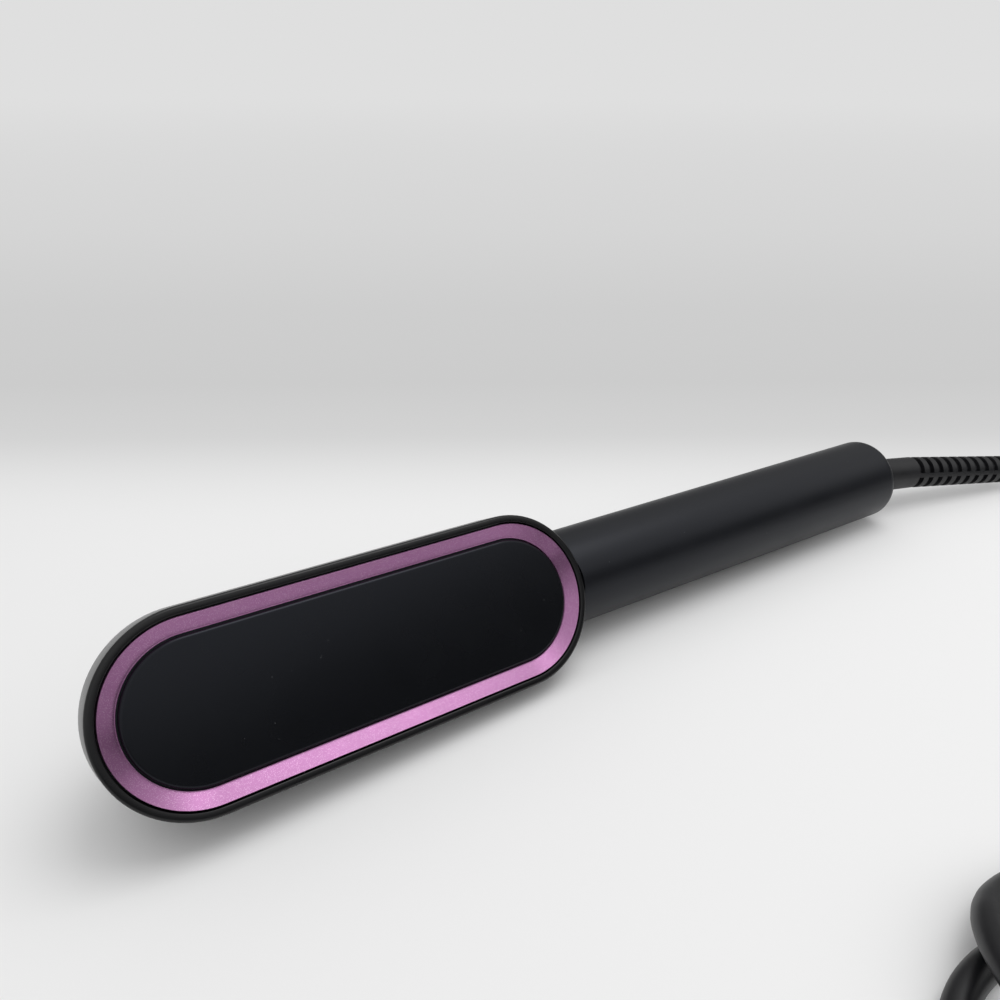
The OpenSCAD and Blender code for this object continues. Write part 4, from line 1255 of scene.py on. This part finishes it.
@dataclass
class Head:
    """The oval head's outside: its housing, the coloured ring and the back plate.

    Attributes:
        spine: Half the straight length of the oval.
        radius: Half its width.
        depth: Its depth.
        steps: Faces round each end.
        rim: Radius of the housing's outer back edge.
        front: Radius of its front edge.
        crease: Radius of its small inner edges.
        wall: Thickness of its side wall.
        mouth: Distance from the middle line to the inside of its rim.
        lip: Distance from the middle line to the inside of its front lip.
        lip_wall: Thickness of that lip.
        ledge: Distance from the middle line to the inside of the ledge under the ring.
        ledge_top: Height of that ledge.
        ledge_wall: Its thickness.
        base: Height of the underside of the ring and the plate.
        ring: Outer radius of the ring.
        ring_edge: Radius of its outer edge.
        ring_top: Height of that edge's centre.
        ring_slope: Distance from the ring's outside to the centre of its inner edge.
        ring_foot: Height of that centre.
        ring_foot_edge: Radius of the inner edge.
        ring_width: Distance from the ring's outside to its inside.
        plate: Outer radius of the plate.
        plate_edge: Radius of its edge.
        plate_face: Height of its face.
        skirt: How far its skirt stands out, to shut the gap to the ring.
        skirt_top: Height of the skirt.
    """

    spine: float = 44.2
    radius: float = 24.5
    depth: float = 15.6
    steps: int = 48
    rim: float = 0.8
    front: float = 5
    crease: float = 0.25
    wall: float = 2.1
    mouth: float = 22.45
    lip: float = 18.8
    lip_wall: float = 2.2
    ledge: float = 21.4
    ledge_top: float = -5.6
    ledge_wall: float = 1
    base: float = -3.2
    ring: float = 22
    ring_edge: float = 0.3
    ring_top: float = -0.45
    ring_slope: float = 3.9
    ring_foot: float = -2.25
    ring_foot_edge: float = 0.2
    ring_width: float = 4.05
    plate: float = 17.5
    plate_edge: float = 0.9
    plate_face: float = -1.1
    skirt: float = 0.35
    skirt_top: float = -2.7

    def sweep(self, section: Section, closed: bool) -> bpy.types.Object:
        """Spins and stretches a section round the head's oval.

        Args:
            section: Distances from the head's middle line, with heights.
            closed: Whether the section's last point joins its first.

        Returns:
            The swept mesh.
        """
        with outlining([(self.spine, y, z) for y, z in section], closed) as piece:
            for side in (1, -1):
                bpy.ops.mesh.spin(
                    steps=self.steps,
                    angle=math.pi,
                    center=(side * self.spine, 0, 0),
                    axis=(0, 0, 1),
                )
                bpy.ops.mesh.extrude_region_move(
                    TRANSFORM_OT_translate={"value": (-2 * side * self.spine, 0, 0)}
                )
            close_up(merged=True)
        return piece

    def make_housing(self) -> bpy.types.Object:
        """Sweeps the housing's wall, with its rim, round front edge, lip and inner ledge."""
        r, d, f, e = self.radius, self.depth, self.front, self.crease
        wall, lip_top = r - self.wall, self.lip_wall - d
        ledge_foot = self.ledge_top - self.ledge_wall
        section = (
            [(self.mouth, self.ledge_top), (self.mouth, -e)]
            + arc((self.mouth + e, -e), e, 180, 90, 3)[1:]
            + arc((r - self.rim, -self.rim), self.rim, 90, 0, 6)
            + arc((r - f, f - d), f, 0, -90, 14)
            + arc((self.lip + e, e - d), e, -90, -180, 3)
            + [(self.lip, lip_top), (r - f, lip_top)]
            + arc((r - f, f - d), f - self.wall, -90, 0, 8)[1:]
            + [(wall, ledge_foot), (self.ledge, ledge_foot), (self.ledge, self.ledge_top)]
        )
        housing = self.sweep(section, True)
        smooth(housing, 30)
        return housing

    def make_ring(self) -> bpy.types.Object:
        """Sweeps the ring, which slopes inwards from a narrow bright outer edge."""
        r = self.ring
        section = (
            [(r, self.base), (r, self.ring_top)]
            + arc((r - self.ring_edge, self.ring_top), self.ring_edge, 0, 60, 4)[1:]
            + arc((r - self.ring_slope, self.ring_foot), self.ring_foot_edge, 62, 180, 4)
            + [(r - self.ring_width, self.base)]
        )
        ring = self.sweep(section, True)
        smooth(ring, 25)
        return ring

    def make_plate(self) -> bpy.types.Object:
        """Sweeps the plate's round edge over its skirt, then closes its face and its back."""
        skirt, edge = self.plate + self.skirt, self.plate_edge
        section = [(skirt, self.base), (skirt, self.skirt_top), (self.plate, self.skirt_top)]
        section += arc((self.plate - edge, self.plate_face - edge), edge, 0, 90, 8)
        plate = self.sweep(section, False)
        with editing(plate):
            for height in (self.plate_face, self.base):
                pick_rim(plate, height)
                bpy.ops.mesh.edge_face_add()
            close_up()
        smooth(plate, 30)
        return plate

    def build(self) -> None:
        """Builds and dresses the head's outside."""
        for piece, name, finish, slot, node in (
            (self.make_housing(), "head_housing", SATIN_ABS, "housing_black", "head_shell"),
            (self.make_ring(), "purple_ring", RING_LACQUER, "ring_purple", "accent_ring"),
            (self.make_plate(), "plate", MATT_PLATE, "plate_black", "back_plate"),
        ):
            seat(piece, name, HEAD, finish, Body.BRUSH, [node])


# The marks on the keys


@dataclass(frozen=True)
class KeyMarks:
    """The plain signs printed on the keys: plus, minus and the sign for on and off.

    Attributes:
        up_key: Middle of the first temperature key along the handle.
        down_key: Middle of the second.
        power_key: Middle of the power key.
        surface: Radius of the key tops about the handle's axis.
        stroke: Width of a printed line.
        ink: Thickness of the print, drawn thick enough to show.
        reach: Half the length of the plus and minus.
        ring: Radius of the ring in the power sign.
        ring_gap: Half the angle of its opening.
        ring_steps: Faces round it.
        stem_start: Where the power sign's stem starts.
        stem_proud: How far it stands out of the ring.
    """

    up_key: float = 52
    down_key: float = 65
    power_key: float = 80
    surface: float = 15.6
    stroke: float = 0.75
    ink: float = 0.05
    reach: float = 1.9
    ring: float = 1.95
    ring_gap: float = 40
    ring_steps: int = 28
    stem_start: float = 0.5
    stem_proud: float = 0.45

    def draw_stroke(self, line: Section, place: float) -> bpy.types.Object:
        """Draws one stroke on the round top of a key.

        Args:
            line: The stroke's middle line, about the key's middle.
            place: Middle of the key along the handle.

        Returns:
            The stroke, a strip with no thickness.
        """
        last = len(line) - 1
        put_down()
        bpy.ops.mesh.primitive_grid_add(x_subdivisions=last, y_subdivisions=1, size=2)
        stroke = bpy.context.object
        radius = self.surface + self.ink / 2
        for vertex in stroke.data.vertices:
            k = round((vertex.co.x + 1) / 2 * last)
            ahead, behind = Vector(line[min(last, k + 1)]), Vector(line[max(0, k - 1)])
            along = (ahead - behind).normalized()
            side = self.stroke / 2 * (1 if vertex.co.y > 0 else -1)
            x, y = Vector(line[k]) + side * Vector((-along.y, along.x))
            a = y / self.surface
            vertex.co = (place + x, radius * math.sin(a), -radius * math.cos(a))
        return stroke

    def print_sign(self, name: str, place: float, lines: Sequence[Section], body: Body) -> None:
        """Prints a sign on a key and lets it ride on the key.

        Args:
            name: The print's name.
            place: Middle of the key along the handle.
            lines: Middle lines of the sign's strokes.
            body: The key's body.
        """
        strokes = [self.draw_stroke(line, place) for line in lines]
        made = strokes[0]
        if len(strokes) > 1:
            take(made)
            for stroke in strokes:
                stroke.select_set(True)
            bpy.ops.object.join()
        with editing(made):
            close_up()
        modify(made, "SOLIDIFY", {"thickness": self.ink, "offset": 0})
        seat(made, name, HANDLE, PAD_PRINT, body)

    def build(self) -> None:
        """Prints the three signs."""
        r, half = self.reach, self.stroke / 2
        bar: Section = [(0, -r), (0, 0), (0, r)]
        arms: list[Section] = [[(side * half, 0), (side * r, 0)] for side in (1, -1)]
        ring = arc((0, 0), self.ring, self.ring_gap, 360 - self.ring_gap, self.ring_steps)
        stem: Section = [(self.stem_start, 0), (self.ring + self.stem_proud, 0)]
        self.print_sign("print_plus", self.up_key, [bar, *arms], Body.UP)
        self.print_sign("print_minus", self.down_key, [bar], Body.DOWN)
        self.print_sign("print_power", self.power_key, [ring, stem], Body.POWER)


def dress_nodes(nodes: dict[str, bpy.types.Object]) -> None:
    """Gives every CAD node the finish of its real material.

    Args:
        nodes: The CAD nodes by name.
    """
    for name, node in nodes.items():
        node.data.materials.clear()
        node.data.materials.append(NODE_FINISHES[name].build())
    LOG.info("%d CAD nodes dressed", len(nodes))


def main() -> None:
    """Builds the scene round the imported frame."""
    logging.basicConfig(level=logging.INFO, format="%(name)s: %(message)s")
    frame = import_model()
    nodes = frame["nodes"]
    Studio().build()
    dress_nodes(nodes)
    MainsCord(StrainRelief(), CoilStrap()).build(nodes)
    Head().build()
    KeyMarks().build()
    put_down()
    bpy.context.scene.view_settings.view_transform = "Standard"


if __name__ == "__main__":
    main()
